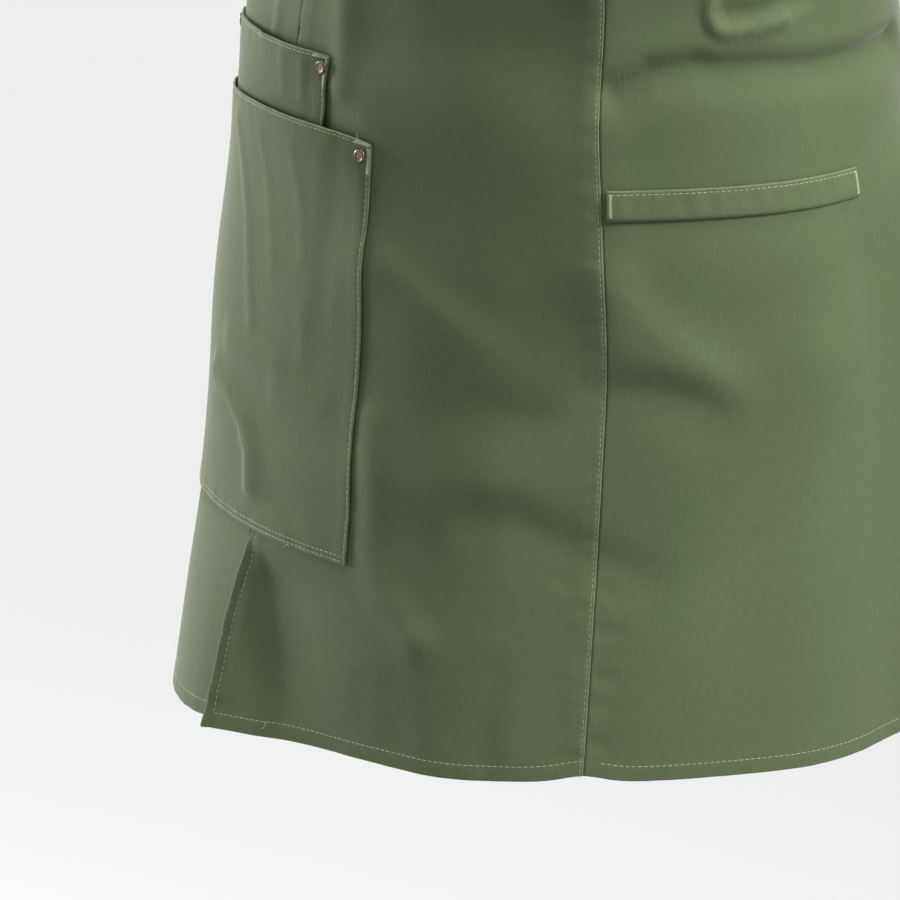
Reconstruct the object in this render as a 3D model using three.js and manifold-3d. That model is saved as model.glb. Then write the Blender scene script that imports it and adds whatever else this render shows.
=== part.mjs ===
// A three-panel bib apron of cotton twill, in the form it has when worn.
// Millimetres, +Z up, front towards -Y, the wearer's left towards +X.
// The origin is on the inner face of the neck strap, at the nape.
import * as THREE from "three";
import { mergeVertices } from "three/addons/utils/BufferGeometryUtils.js";
import Module from "manifold-3d";

const wasm = await Module();
wasm.setup();

// Cloth and gaps
const CLOTH = 1.1;
const STRAP_CLOTH = 1.6;
const GAP = 0.5;
const LAYER = CLOTH + GAP;
const SLACK = 0.5;
const MERGE_DISTANCE = 0.001;

// Levels, measured down from the nape
const BIB_TOP = -150;
const ARMHOLE_FOOT = -380;
const ARMHOLE_SCOOP = 2.2;
const SLIT_TOP = -742;
const HEM = -838;

// Facets across and down each sheet; the panels share their rows along the seams
const CENTRE_GRID = { columns: 14, rows: 27 };
const BIB_ROWS = 3;
const SIDE_GRID = { columns: 15, rows: CENTRE_GRID.rows - BIB_ROWS };
const SMALL_GRID = { columns: 8, rows: 7 };
const LARGE_GRID = { columns: 13, rows: 11 };
const WELT_GRID = { columns: 9, rows: 2 };
const BAG_GRID = { columns: 9, rows: 7 };
const TIE_STEPS = 14;
const TAIL_STEPS = 8;
const STRAP_STEPS = 44;
const ARMHOLE_TOP = BIB_TOP + ((HEM - BIB_TOP) * BIB_ROWS) / CENTRE_GRID.rows;

// The worn form: an oval section at each level, on an axis in front of the nape
const BODY_AXIS_Y = -70;
const FORM = [
  { height: -110, halfWidth: 136, halfDepth: 54 },
  { height: -150, halfWidth: 146, halfDepth: 72 },
  { height: -210, halfWidth: 153, halfDepth: 102 },
  { height: -265, halfWidth: 157, halfDepth: 122 },
  { height: -330, halfWidth: 152, halfDepth: 124 },
  { height: -395, halfWidth: 151, halfDepth: 127 },
  { height: -430, halfWidth: 162, halfDepth: 138 },
  { height: -479, halfWidth: 171.7, halfDepth: 146 },
  { height: -560, halfWidth: 179.5, halfDepth: 151 },
  { height: -640, halfWidth: 190, halfDepth: 158 },
  { height: -730, halfWidth: 196, halfDepth: 171 },
  { height: -800, halfWidth: 204.5, halfDepth: 188 },
  { height: -860, halfWidth: 211, halfDepth: 205 },
];

// Edges of the centre panel, as angles round the body from the middle of the front
const SEAMS = [
  { height: -150, right: -39, left: 39 },
  { height: -232, right: -35, left: 35 },
  { height: -310, right: -31.5, left: 31.5 },
  { height: -395, right: -30, left: 30 },
  { height: -450, right: -30.6, left: 30.2 },
  { height: -512, right: -31.2, left: 28.95 },
  { height: -560, right: -31.4, left: 29.3 },
  { height: -620, right: -31.8, left: 29.6 },
  { height: -675, right: -32.2, left: 29.3 },
  { height: -742, right: -32.6, left: 29 },
  { height: -765, right: -32.3, left: 28.9 },
  { height: -800, right: -31.3, left: 28.8 },
  { height: -850, right: -30.4, left: 28.8 },
];

// Back edges of the side panels, as angles
const BACK_EDGES = [
  { height: -380, angle: 112 },
  { height: -560, angle: 114 },
  { height: -860, angle: 118 },
];

// Folds: a soft ridge (or, with a negative rise, a valley) along a line on the form
const FOLDS = [
  { name: "pocket slant", angle: -47, height: -653, toAngle: -26, toHeight: -666, halfWidth: 13, rise: 1.8 },
  { name: "by pocket", angle: -13, height: -505, toAngle: -11.5, toHeight: -588, halfWidth: 18, rise: 2.2 },
  { name: "front rise", angle: 7, height: -600, toAngle: 7, toHeight: -770, halfWidth: 34, rise: 2.4 },
  { name: "waist hollow", angle: -8, height: -476, toAngle: 20, toHeight: -476, halfWidth: 30, rise: -4 },
  { name: "upper drag", angle: 4, height: -655, toAngle: 26, toHeight: -666.5, halfWidth: 16, rise: -1.1 },
  { name: "lower drag", angle: 8, height: -708, toAngle: 35, toHeight: -737, halfWidth: 13, rise: -2.6 },
  { name: "hem fall", angle: -27, height: -842, toAngle: -12, toHeight: -850, halfWidth: 40, rise: -5 },
  { name: "seam break", angle: 30.5, height: -450, toAngle: 30.5, toHeight: -620, halfWidth: 22, rise: 2 },
  { name: "left brow", angle: 32, height: -438, toAngle: 48, toHeight: -436, halfWidth: 26, rise: 5 },
  { name: "left roll", angle: 62, height: -446, toAngle: 100, toHeight: -440, halfWidth: 20, rise: 4 },
  { name: "under roll", angle: 38, height: -485, toAngle: 100, toHeight: -485, halfWidth: 12, rise: -4.5 },
  { name: "right roll", angle: -76, height: -440, toAngle: -102, toHeight: -432, halfWidth: 20, rise: 7 },
  { name: "left hip", angle: 36, height: -560, toAngle: 64, toHeight: -566, halfWidth: 26, rise: 2 },
  { name: "left wedge", angle: 32, height: -600, toAngle: 46, toHeight: -640, halfWidth: 24, rise: 2.6 },
  { name: "below wedge", angle: 30, height: -645, toAngle: 45.5, toHeight: -652, halfWidth: 24, rise: -1.6 },
  { name: "left flute", angle: 66, height: -640, toAngle: 62, toHeight: -840, halfWidth: 26, rise: 4 },
  { name: "left rear", angle: 101, height: -560, toAngle: 103, toHeight: -838, halfWidth: 22, rise: 8 },
  { name: "left hollow", angle: 84, height: -600, toAngle: 82, toHeight: -838, halfWidth: 24, rise: -5 },
  { name: "right flute", angle: -91, height: -620, toAngle: -86, toHeight: -838, halfWidth: 24, rise: 5 },
  { name: "right rear", angle: -108, height: -560, toAngle: -110, toHeight: -838, halfWidth: 20, rise: 7 },
  { name: "bib left", angle: 24, height: -205, toAngle: 10, toHeight: -270, halfWidth: 20, rise: 2.5 },
  { name: "bib right", angle: -24, height: -205, toAngle: -10, toHeight: -270, halfWidth: 20, rise: 2.5 },
];
const FOLD_RADIUS = 170;

// Lapped seams and the slit
const SEAM_LAP = 8;
const SEAM_STEP = 5;
const SEAM_EASE = 0.3;
const SLIT_LAP = 14;
const SLIT_SINK = 3;
const SLIT_SINK_REACH = 45;
const SLIT_FLARE = 20;
const SLIT_FLARE_REACH = { top: 28, hem: 80 };
const HEM_DIP = { angle: 10, depth: 1.9, reach: 9 };
const SIDE_HEM_DROP = { slit: 4.5, hip: 9.5, reach: 30 };
const SEAM_HEM_LIFT = 3;
const SEAM_HEM_LIFT_REACH = 4;

// Patch pockets
const SMALL_POCKET = {
  front: -21.1,
  frontFoot: -23.9,
  back: -69,
  top: -490.2,
  bow: 4,
  bottom: -622,
  bottomBow: 0,
  gape: 6.5,
  gapeDepth: 28,
};
const LARGE_POCKET = {
  front: -10.7,
  frontFoot: -10.6,
  back: -79,
  top: -530.4,
  bow: 8.2,
  bottom: -744.6,
  bottomBow: 5,
  gape: 5,
  gapeDepth: 32,
};
const BOW_LEAN = 0.7;

// How the large pocket climbs over the small one: degrees past its sides, and distances below it
const CLIMB = { frontFrom: 5, frontTo: 3, backFrom: 0.5, backTo: 4, belowFrom: 8, belowTo: 40 };

// Rivets at the pockets' top corners
const RIVET = { cap: 7, capHeight: 1.7, crown: 5.2, shank: 2.6, burr: 6.2, burrHeight: 0.7 };
const RIVET_HOLE = { clearance: 0.4, length: 30 };
const RIVET_SIDES = 10;
const RIVET_IN = { small: 1.3, large: 1.8 };
const RIVET_DOWN = { small: 6.4, large: 7.6 };

// Welt pocket
const WELT = { front: 29.9, back: 80, top: -542.8, bottom: -558.2 };
const SLOT = { front: 34, back: 77.5, top: -545.5, bottom: -553.5 };
const BAG = { front: 33, back: 79, top: -538, mouth: -556.5, bottom: -690, spread: 3 };

// Waist ties, knot and tails
const TIE_WIDTH = 26;
const TIE_HEIGHT = -395;
const TIE_START = 104;
const TIE_SETTLE = { from: 114, to: 126 };
const TIE_MEET = 2;
const KNOT = { halfWidth: 19, halfDepth: 10, halfHeight: 17, rest: 1.6 };
const TAIL = { width: 23, length: 190, spread: 0.16, start: 6, sway: 3 };

// Neck strap: the route of the middle of its inner face on the left, from above the bib to the nape, and
// the direction that its outer face looks
const STRAP_WIDTH = 25;
const STRAP_ANGLE = 31;
const STRAP_SEWN = 32;
const STRAP_GAP = 1.6;
const STRAP_ROUTE = [
  { x: 72, y: -119, z: -118, outX: 0.28, outY: -0.9, outZ: 0.33 },
  { x: 69, y: -102, z: -82, outX: 0.32, outY: -0.8, outZ: 0.51 },
  { x: 65, y: -78, z: -48, outX: 0.4, outY: -0.52, outZ: 0.76 },
  { x: 59, y: -52, z: -24, outX: 0.58, outY: -0.12, outZ: 0.8 },
  { x: 48, y: -27, z: -9, outX: 0.68, outY: 0.36, outZ: 0.64 },
  { x: 27, y: -7, z: -1.5, outX: 0.42, outY: 0.8, outZ: 0.43 },
  { x: 0, y: 0, z: 0, outX: 0, outY: 0.93, outZ: 0.37 },
];

const lerp = THREE.MathUtils.lerp;
const radians = THREE.MathUtils.degToRad;
const smooth = THREE.MathUtils.smoothstep;

// A smooth curve through one column of a table whose rows run downwards
function fromTable(table, column, height) {
  const last = table.length - 2;
  const below = table.findIndex((row) => row.height <= height);
  const i = below < 0 ? last : Math.min(Math.max(below - 1, 0), last);
  const slope = (k) => {
    const upper = table[Math.max(k - 1, 0)];
    const lower = table[Math.min(k + 1, table.length - 1)];
    return (lower[column] - upper[column]) / (lower.height - upper.height);
  };
  const span = table[i + 1].height - table[i].height;
  const t = THREE.MathUtils.clamp((height - table[i].height) / span, 0, 1);
  const start = table[i][column] * (1 - t) ** 2 * (1 + 2 * t);
  const end = table[i + 1][column] * t ** 2 * (3 - 2 * t);
  return start + end + span * t * (1 - t) * ((1 - t) * slope(i) - t * slope(i + 1));
}

// How far the folds lift the cloth at a place on the form
function foldRise(angle, height) {
  let rise = 0;
  for (const fold of FOLDS) {
    const from = new THREE.Vector2(radians(fold.angle) * FOLD_RADIUS, fold.height);
    const along = new THREE.Vector2(radians(fold.toAngle) * FOLD_RADIUS, fold.toHeight).sub(from);
    const reach = new THREE.Vector2(radians(angle) * FOLD_RADIUS, height).sub(from);
    const share = THREE.MathUtils.clamp(reach.dot(along) / along.lengthSq(), 0, 1);
    const away = reach.sub(along.multiplyScalar(share)).length() / fold.halfWidth;
    rise += fold.rise * Math.exp(-away * away);
  }
  return rise;
}

// The level direction in which the form looks at an angle and height
function outward(angle, height) {
  const x = Math.sin(radians(angle)) / fromTable(FORM, "halfWidth", height);
  const y = -Math.cos(radians(angle)) / fromTable(FORM, "halfDepth", height);
  return new THREE.Vector3(x, y, 0).normalize();
}

// A point on the worn form, moved out by a distance
function worn(angle, height, out = 0) {
  const x = fromTable(FORM, "halfWidth", height) * Math.sin(radians(angle));
  const y = BODY_AXIS_Y - fromTable(FORM, "halfDepth", height) * Math.cos(radians(angle));
  const lift = out + foldRise(angle, height);
  return new THREE.Vector3(x, y, height).addScaledVector(outward(angle, height), lift);
}

// Degrees round the form that cover a distance on it
function degreesFor(distance, angle, height) {
  const across = fromTable(FORM, "halfWidth", height) * Math.cos(radians(angle));
  const deep = fromTable(FORM, "halfDepth", height) * Math.sin(radians(angle));
  return THREE.MathUtils.radToDeg(distance / Math.hypot(across, deep));
}

// A closed sheet between two faces; each face is a function of column and row
function sheet(columns, rows, innerFace, outerFace) {
  const positions = [];
  for (const face of [innerFace, outerFace]) {
    for (let row = 0; row <= rows; row += 1) {
      for (let column = 0; column <= columns; column += 1) {
        positions.push(...face(column, row).toArray());
      }
    }
  }
  const width = columns + 1;
  const layer = width * (rows + 1);
  const inner = (column, row) => row * width + column;
  const outer = (column, row) => layer + row * width + column;
  const triangles = [];
  const quad = (a, b, c, d) => triangles.push(a, b, c, a, c, d);
  for (let row = 0; row < rows; row += 1) {
    for (let column = 0; column < columns; column += 1) {
      const next = column + 1;
      const under = row + 1;
      quad(outer(column, row), outer(column, under), outer(next, under), outer(next, row));
      quad(inner(column, row), inner(next, row), inner(next, under), inner(column, under));
    }
  }
  for (let column = 0; column < columns; column += 1) {
    quad(inner(column, 0), outer(column, 0), outer(column + 1, 0), inner(column + 1, 0));
    quad(inner(column + 1, rows), outer(column + 1, rows), outer(column, rows), inner(column, rows));
  }
  for (let row = 0; row < rows; row += 1) {
    quad(inner(0, row + 1), outer(0, row + 1), outer(0, row), inner(0, row));
    quad(inner(columns, row), outer(columns, row), outer(columns, row + 1), inner(columns, row + 1));
  }
  return facingOut(positions, triangles);
}

// A geometry from points and triangles, turned so that its faces point out
function facingOut(positions, triangles) {
  const corner = (i) => new THREE.Vector3().fromArray(positions, 3 * triangles[i]);
  let volume = 0;
  for (let i = 0; i < triangles.length; i += 3) {
    volume += corner(i).dot(corner(i + 1).cross(corner(i + 2)));
  }
  if (volume < 0) {
    triangles.reverse();
  }
  const geometry = new THREE.BufferGeometry();
  geometry.setAttribute("position", new THREE.Float32BufferAttribute(positions, 3));
  geometry.setIndex(triangles);
  geometry.computeVertexNormals();
  return geometry;
}

// A sheet that follows the worn form; place gives the angle, height and out of its inner face
function clothSheet(columns, rows, place, thickness = CLOTH) {
  const face = (lift) => (column, row) => {
    const { angle, height, out } = place(column, row);
    return worn(angle, height, out + lift);
  };
  return sheet(columns, rows, face(0), face(thickness));
}

// Cuts and joins of closed geometries
function toSolid(geometry) {
  const merged = { numProp: 3, vertProperties: geometry.attributes.position.array, triVerts: null };
  merged.triVerts = new Uint32Array(geometry.index.array);
  const mesh = new wasm.Mesh(merged);
  mesh.merge();
  return new wasm.Manifold(mesh);
}

function fromSolid(solid) {
  const mesh = solid.getMesh();
  return facingOut(Array.from(mesh.vertProperties), Array.from(mesh.triVerts));
}

function cutAll(geometry, cutters) {
  const cut = cutters.reduce((solid, cutter) => solid.subtract(toSolid(cutter)), toSolid(geometry));
  return fromSolid(cut);
}

function join(geometries) {
  return fromSolid(geometries.map(toSolid).reduce((whole, piece) => whole.add(piece)));
}

// The front's hem: it hangs lower left of the middle and is drawn up at the left seam
function hemHeight(angle) {
  const seam = fromTable(SEAMS, "left", HEM);
  const dip = HEM_DIP.depth * Math.exp(-(((angle - HEM_DIP.angle) / HEM_DIP.reach) ** 2));
  const lift = SEAM_HEM_LIFT * Math.exp(-(((angle - seam) / SEAM_HEM_LIFT_REACH) ** 2));
  return HEM - dip + lift;
}

// How far the right side panel's hem hangs below the front's
function rightHemDrop(angle) {
  const corner = -fromTable(SEAMS, "right", HEM);
  const share = smooth(angle, corner, corner + SIDE_HEM_DROP.reach);
  return lerp(SIDE_HEM_DROP.slit, SIDE_HEM_DROP.hip, share);
}

// Grows from nothing at the slit's top to one at the hem
function slitShare(height) {
  return smooth(-height, -SLIT_TOP, -HEM);
}

function centrePanel() {
  const { columns, rows } = CENTRE_GRID;
  return clothSheet(columns, rows, (column, row) => {
    const level = lerp(BIB_TOP, HEM, row / rows);
    const right = fromTable(SEAMS, "right", level);
    const left = fromTable(SEAMS, "left", level);
    const angle = lerp(right, left, column / columns);
    const height = lerp(BIB_TOP, hemHeight(angle), row / rows);
    const down = THREE.MathUtils.clamp((SLIT_TOP - level) / (SLIT_TOP - HEM), 0, 1);
    const inFromEdge = radians(angle - right) * FOLD_RADIUS;
    const reach = lerp(SLIT_FLARE_REACH.top, SLIT_FLARE_REACH.hem, down);
    const near = THREE.MathUtils.clamp(1 - inFromEdge / reach, 0, 1);
    return { angle, height, out: SLIT_FLARE * down * near * near };
  });
}

// The armhole's curve, from the seam down to the back corner
function armholeHeight(share) {
  return lerp(ARMHOLE_FOOT, ARMHOLE_TOP, (1 - share) ** ARMHOLE_SCOOP);
}

// A side panel; its seam edge is tucked under the centre panel. Side is 1 on the left and -1 on the right.
function sidePanel(side) {
  const { columns, rows } = SIDE_GRID;
  const seamColumn = side > 0 ? "left" : "right";
  return clothSheet(columns + 2, rows, (column, row) => {
    const fraction = Math.max(column - 2, 0) / columns;
    const foot = HEM - armholeHeight(fraction);
    const height = armholeHeight(fraction) + (foot * row) / rows;
    const seam = Math.abs(fromTable(SEAMS, seamColumn, height));
    const back = fromTable(BACK_EDGES, "angle", height);
    const slit = side < 0 ? slitShare(height) : 0;
    const lap = lerp(SEAM_LAP, SLIT_LAP, slit);
    const firstStep = degreesFor(SEAM_STEP, seam, height);
    let angle = lerp(seam + firstStep, back, fraction);
    let distance = radians(angle - seam) * FOLD_RADIUS;
    if (column < 2) {
      distance = column === 0 ? -lap : GAP;
      angle = seam + degreesFor(distance, seam, height);
    }
    const tuck = (LAYER + SEAM_EASE) * (1 - smooth(distance, GAP, SEAM_STEP));
    const sink = SLIT_SINK * slit * (1 - smooth(distance, SEAM_STEP, SLIT_SINK_REACH));
    const moved = side > 0 ? hemHeight(angle) - HEM : -rightHemDrop(angle);
    return { angle: side * angle, height: height + (moved * row) / rows, out: -tuck - sink };
  });
}

// How far across a pocket an angle is, from its front edge
function shareAcross(pocket, angle) {
  const share = THREE.MathUtils.inverseLerp(pocket.front, pocket.back, angle);
  return THREE.MathUtils.clamp(share, 0, 1);
}

// The height of a pocket's top edge, which bows up over the hip
function mouthHeight(pocket, angle) {
  return pocket.top + pocket.bow * Math.sin(Math.PI * shareAcross(pocket, angle) ** BOW_LEAN);
}

// The height of a pocket's bottom edge
function footHeight(pocket, angle) {
  return pocket.bottom + pocket.bottomBow * Math.sin(Math.PI * shareAcross(pocket, angle));
}

// How far a pocket's cloth stands off below its mouth
function gapeAt(pocket, angle, height) {
  const depth = (mouthHeight(pocket, angle) - height) / pocket.gapeDepth;
  const across = Math.sin(Math.PI * shareAcross(pocket, angle));
  return pocket.gape * across ** 2 * Math.exp(-depth * depth);
}

// A place on a pocket, whose front edge slants a little
function pocketPlace(pocket, across, down) {
  const front = lerp(pocket.front, pocket.frontFoot, down);
  const angle = lerp(front, pocket.back, across);
  return { angle, height: lerp(mouthHeight(pocket, angle), footHeight(pocket, angle), down) };
}

function smallPocket() {
  const { columns, rows } = SMALL_GRID;
  return clothSheet(columns, rows, (column, row) => {
    const { angle, height } = pocketPlace(SMALL_POCKET, column / columns, row / rows);
    return { angle, height, out: LAYER + SLACK + gapeAt(SMALL_POCKET, angle, height) };
  });
}

// The large pocket climbs over the small one behind it
function largePocketOut(angle, height) {
  const { front, back, bottom } = SMALL_POCKET;
  const acrossFront = smooth(front - angle, -CLIMB.frontFrom, -CLIMB.frontTo);
  const acrossBack = 1 - smooth(back - angle, CLIMB.backFrom, CLIMB.backTo);
  const above = 1 - smooth(bottom - height, CLIMB.belowFrom, CLIMB.belowTo);
  return LAYER + SLACK + LAYER * acrossFront * acrossBack * above;
}

function largePocket() {
  const { columns, rows } = LARGE_GRID;
  return clothSheet(columns, rows, (column, row) => {
    const { angle, height } = pocketPlace(LARGE_POCKET, column / columns, row / rows);
    const gapes = gapeAt(SMALL_POCKET, angle, height) + gapeAt(LARGE_POCKET, angle, height);
    return { angle, height, out: largePocketOut(angle, height) + gapes };
  });
}

// A spool-shaped rivet whose burr is inside the panel and whose cap is on the pocket
function rivet(angle, height) {
  const stack = 2 * LAYER + SLACK;
  const inside = -GAP - SLACK;
  const { cap, capHeight, crown, shank, burr, burrHeight } = RIVET;
  const profile = [
    new THREE.Vector2(0, inside - burrHeight),
    new THREE.Vector2(burr / 2, inside - burrHeight),
    new THREE.Vector2(burr / 2, inside),
    new THREE.Vector2(shank / 2, inside),
    new THREE.Vector2(shank / 2, stack),
    new THREE.Vector2(cap / 2, stack),
    new THREE.Vector2(cap / 2, stack + capHeight / 2),
    new THREE.Vector2(crown / 2, stack + capHeight),
    new THREE.Vector2(0, stack + capHeight),
  ];
  return alongOutward(new THREE.LatheGeometry(profile, RIVET_SIDES), angle, height);
}

function rivetHole(angle, height) {
  const radius = RIVET.shank / 2 + RIVET_HOLE.clearance;
  const drill = new THREE.CylinderGeometry(radius, radius, RIVET_HOLE.length, RIVET_SIDES);
  return alongOutward(drill, angle, height);
}

// Turns a shape's Y axis to look out of the form and puts it there
function alongOutward(geometry, angle, height) {
  const turn = new THREE.Quaternion().setFromUnitVectors(new THREE.Vector3(0, 1, 0), outward(angle, height));
  return merged(geometry.applyQuaternion(turn).translate(...worn(angle, height).toArray()));
}

// A stock geometry as one closed body with shared points and no empty triangles
function merged(geometry) {
  geometry.deleteAttribute("normal");
  geometry.deleteAttribute("uv");
  const joined = mergeVertices(geometry, MERGE_DISTANCE);
  const index = joined.index.array;
  const triangles = [];
  for (let i = 0; i < index.length; i += 3) {
    const corners = index.slice(i, i + 3);
    if (new Set(corners).size === 3) {
      triangles.push(...corners);
    }
  }
  return facingOut(Array.from(joined.attributes.position.array), triangles);
}

// Where the four rivets are
function rivetPlaces() {
  const places = [];
  const pockets = { small: SMALL_POCKET, large: LARGE_POCKET };
  for (const [size, pocket] of Object.entries(pockets)) {
    const corners = { front: pocket.front - RIVET_IN[size], back: pocket.back + RIVET_IN[size] };
    for (const [corner, angle] of Object.entries(corners)) {
      const height = mouthHeight(pocket, angle) - RIVET_DOWN[size];
      places.push({ name: `${size}_pocket_rivet_${corner}`, size, angle, height });
    }
  }
  return places;
}

function welt() {
  const { columns, rows } = WELT_GRID;
  return clothSheet(columns, rows, (column, row) => {
    const angle = lerp(WELT.front, WELT.back, column / columns);
    const height = lerp(WELT.top, WELT.bottom, row / rows);
    return { angle, height, out: LAYER };
  });
}

// A block that cuts the welt pocket's slot through the panel
function slotCutter() {
  const columns = WELT_GRID.columns;
  const place = (column, row) => ({
    angle: lerp(SLOT.front, SLOT.back, column / columns),
    height: lerp(SLOT.top, SLOT.bottom, row),
    out: -LAYER,
  });
  return clothSheet(columns, 1, place, 2 * LAYER + CLOTH);
}

// The welt pocket's bag: one cloth folded up at the bottom, its sides drawn together
function weltBag() {
  const { columns, rows } = BAG_GRID;
  const place = (column, row, face) => {
    const across = column / columns;
    const apart = GAP + BAG.spread * Math.sin(Math.PI * across);
    const angle = lerp(BAG.front, BAG.back, across);
    const isFront = row <= rows;
    const step = isFront ? row : 2 * rows + 1 - row;
    const turned = step === rows ? CLOTH : 0;
    const top = isFront ? BAG.mouth : BAG.top;
    const frontFace = -GAP - SLACK;
    const backFace = frontFace - CLOTH - apart;
    const height = lerp(top, BAG.bottom + CLOTH, step / rows) - (face > 0 ? 0 : turned);
    if (isFront) {
      return worn(angle, height, face > 0 ? frontFace - CLOTH : frontFace);
    }
    return worn(angle, height, face > 0 ? backFace : backFace - CLOTH);
  };
  const face = (side) => (column, row) => place(column, row, side);
  return sheet(columns, 2 * rows + 1, face(1), face(-1));
}

// A waist tie, sewn on outside the panel's back corner and laid round the back to end under the knot
function waistTie(side) {
  const end = 180 - degreesFor(TIE_MEET, 180, TIE_HEIGHT);
  const place = (column, row) => {
    const angle = lerp(TIE_START, end, row / TIE_STEPS);
    const height = TIE_HEIGHT + TIE_WIDTH * (0.5 - column);
    const out = (LAYER + SLACK) * (1 - smooth(angle, TIE_SETTLE.from, TIE_SETTLE.to));
    return { angle: side * angle, height, out };
  };
  return clothSheet(1, TIE_STEPS, place, STRAP_CLOTH);
}

// The knot, on the ties' ends, with its two tails
function waistKnot() {
  const { halfWidth, halfDepth, halfHeight, rest } = KNOT;
  const middle = worn(180, TIE_HEIGHT, STRAP_CLOTH + GAP + rest + halfDepth);
  const ball = new THREE.SphereGeometry(1, 14, 8).rotateX(Math.PI / 2);
  ball.scale(halfWidth, halfDepth, halfHeight).translate(...middle.toArray());
  const tail = (side) => {
    const face = (lift) => (column, row) => {
      const drop = (TAIL.length * row) / TAIL_STEPS;
      const x = side * (TAIL.start + TAIL.spread * drop) + TAIL.width * (column - 0.5);
      const hang = 2 * STRAP_CLOTH + TAIL.sway * Math.sin((Math.PI * row) / TAIL_STEPS);
      return new THREE.Vector3(x, middle.y + side * hang + lift, middle.z - drop);
    };
    return sheet(1, TAIL_STEPS, face(0), face(STRAP_CLOTH));
  };
  return join([merged(ball), tail(1), tail(-1)]);
}

// The neck strap, swept along a smooth route from one bib corner round the nape to the other
function neckStrap() {
  const sewnOut = -STRAP_CLOTH - STRAP_GAP;
  const sewn = [BIB_TOP - STRAP_SEWN, BIB_TOP - STRAP_SEWN / 2, BIB_TOP].map((height) => ({
    point: worn(STRAP_ANGLE, height, sewnOut),
    out: outward(STRAP_ANGLE, height),
  }));
  const free = STRAP_ROUTE.map((row) => ({
    point: new THREE.Vector3(row.x, row.y, row.z),
    out: new THREE.Vector3(row.outX, row.outY, row.outZ),
  }));
  const half = [...sewn, ...free];
  const flip = new THREE.Vector3(-1, 1, 1);
  const mirrored = half.slice(0, -1).reverse();
  const opposite = mirrored.map(({ point, out }) => ({
    point: point.clone().multiply(flip),
    out: out.clone().multiply(flip),
  }));
  const whole = [...half, ...opposite];
  const route = new THREE.CatmullRomCurve3(whole.map((row) => row.point), false, "centripetal");
  const looks = new THREE.CatmullRomCurve3(whole.map((row) => row.out), false, "centripetal");
  const face = (lift) => (column, row) => {
    const t = row / STRAP_STEPS;
    const tangent = route.getTangent(t);
    const across = new THREE.Vector3().crossVectors(looks.getPoint(t), tangent).normalize();
    const out = new THREE.Vector3().crossVectors(tangent, across);
    const point = route.getPoint(t).addScaledVector(across, STRAP_WIDTH * (column - 0.5));
    return point.addScaledVector(out, lift);
  };
  return sheet(1, STRAP_STEPS, face(0), face(STRAP_CLOTH));
}

// Finishes
const twill = new THREE.MeshStandardMaterial({ color: 0x5f694c, roughness: 0.9, metalness: 0 });
const lining = new THREE.MeshStandardMaterial({ color: 0x525b42, roughness: 0.92, metalness: 0 });
const copper = new THREE.MeshStandardMaterial({ color: 0x7a4f3c, roughness: 0.42, metalness: 1 });

function piece(name, geometry, material) {
  const mesh = new THREE.Mesh(geometry, material);
  mesh.name = name;
  return mesh;
}

// The apron
const rivets = rivetPlaces();
const holesOf = (size) => rivets.filter((r) => r.size === size).map((r) => rivetHole(r.angle, r.height));
const allHoles = [...holesOf("small"), ...holesOf("large")];

const apron = new THREE.Group();
apron.add(piece("centre_panel", cutAll(centrePanel(), allHoles), twill));
apron.add(piece("right_side_panel", cutAll(sidePanel(-1), allHoles), twill));
apron.add(piece("left_side_panel", cutAll(sidePanel(1), [slotCutter()]), twill));
apron.add(piece("small_pocket", cutAll(smallPocket(), holesOf("small")), twill));
apron.add(piece("large_pocket", cutAll(largePocket(), holesOf("large")), twill));
for (const place of rivets) {
  apron.add(piece(place.name, rivet(place.angle, place.height), copper));
}
apron.add(piece("pocket_welt", welt(), twill));
apron.add(piece("welt_pocket_bag", weltBag(), lining));
apron.add(piece("neck_strap", neckStrap(), twill));
apron.add(piece("right_waist_tie", waistTie(-1), twill));
apron.add(piece("left_waist_tie", waistTie(1), twill));
apron.add(piece("waist_knot", waistKnot(), twill));

export default apron;
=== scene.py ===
"""Dress a three-panel bib apron of cotton twill, in the form it has when worn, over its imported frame.

Sizes are in millimetres and angles in degrees round the body from the middle of the front, as on the
part's pattern. Meshes are in metres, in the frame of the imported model.
"""

import logging
import math
from abc import ABC, abstractmethod
from dataclasses import dataclass, field
from enum import Enum
from typing import Callable, ClassVar, Sequence

import bmesh
import bpy
import numpy as np
from mathutils import Matrix, Vector


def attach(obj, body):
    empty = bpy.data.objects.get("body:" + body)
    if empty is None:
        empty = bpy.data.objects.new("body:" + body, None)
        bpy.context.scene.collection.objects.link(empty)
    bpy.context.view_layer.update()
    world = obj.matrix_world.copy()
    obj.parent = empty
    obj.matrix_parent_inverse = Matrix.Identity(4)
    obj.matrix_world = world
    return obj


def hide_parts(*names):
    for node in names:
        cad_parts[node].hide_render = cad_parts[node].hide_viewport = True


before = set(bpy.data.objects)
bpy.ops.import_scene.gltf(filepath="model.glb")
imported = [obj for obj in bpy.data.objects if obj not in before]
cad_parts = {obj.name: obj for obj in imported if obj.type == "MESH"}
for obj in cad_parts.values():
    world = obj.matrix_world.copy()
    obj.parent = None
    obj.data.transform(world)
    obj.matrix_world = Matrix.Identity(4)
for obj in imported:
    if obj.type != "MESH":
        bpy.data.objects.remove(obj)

LOG = logging.getLogger("apron")
MM = 0.001
TINY = 1e-12
Array = np.ndarray
Pair = tuple[float, float]
Triple = tuple[float, float, float]
Four = tuple[float, float, float, float]
Places = tuple[Pair, ...]
Socket = bpy.types.NodeSocket
Shape = Callable[[Array, Array, Array], tuple[Array, Array, Array]]
# Distances in from a stitched edge at which the cloth's grid has lines
EDGE_LINES = (0.0, 0.35, 0.8, 1.3, 1.9, 2.6, 3.5, 4.6, 6.0, 7.4, 8.2, 9.4)
# The distance from band to band of a wave texture at a scale of 1
STRAIGHT_BAND = 0.3142
SLANTED_BAND = 0.4443
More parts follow.
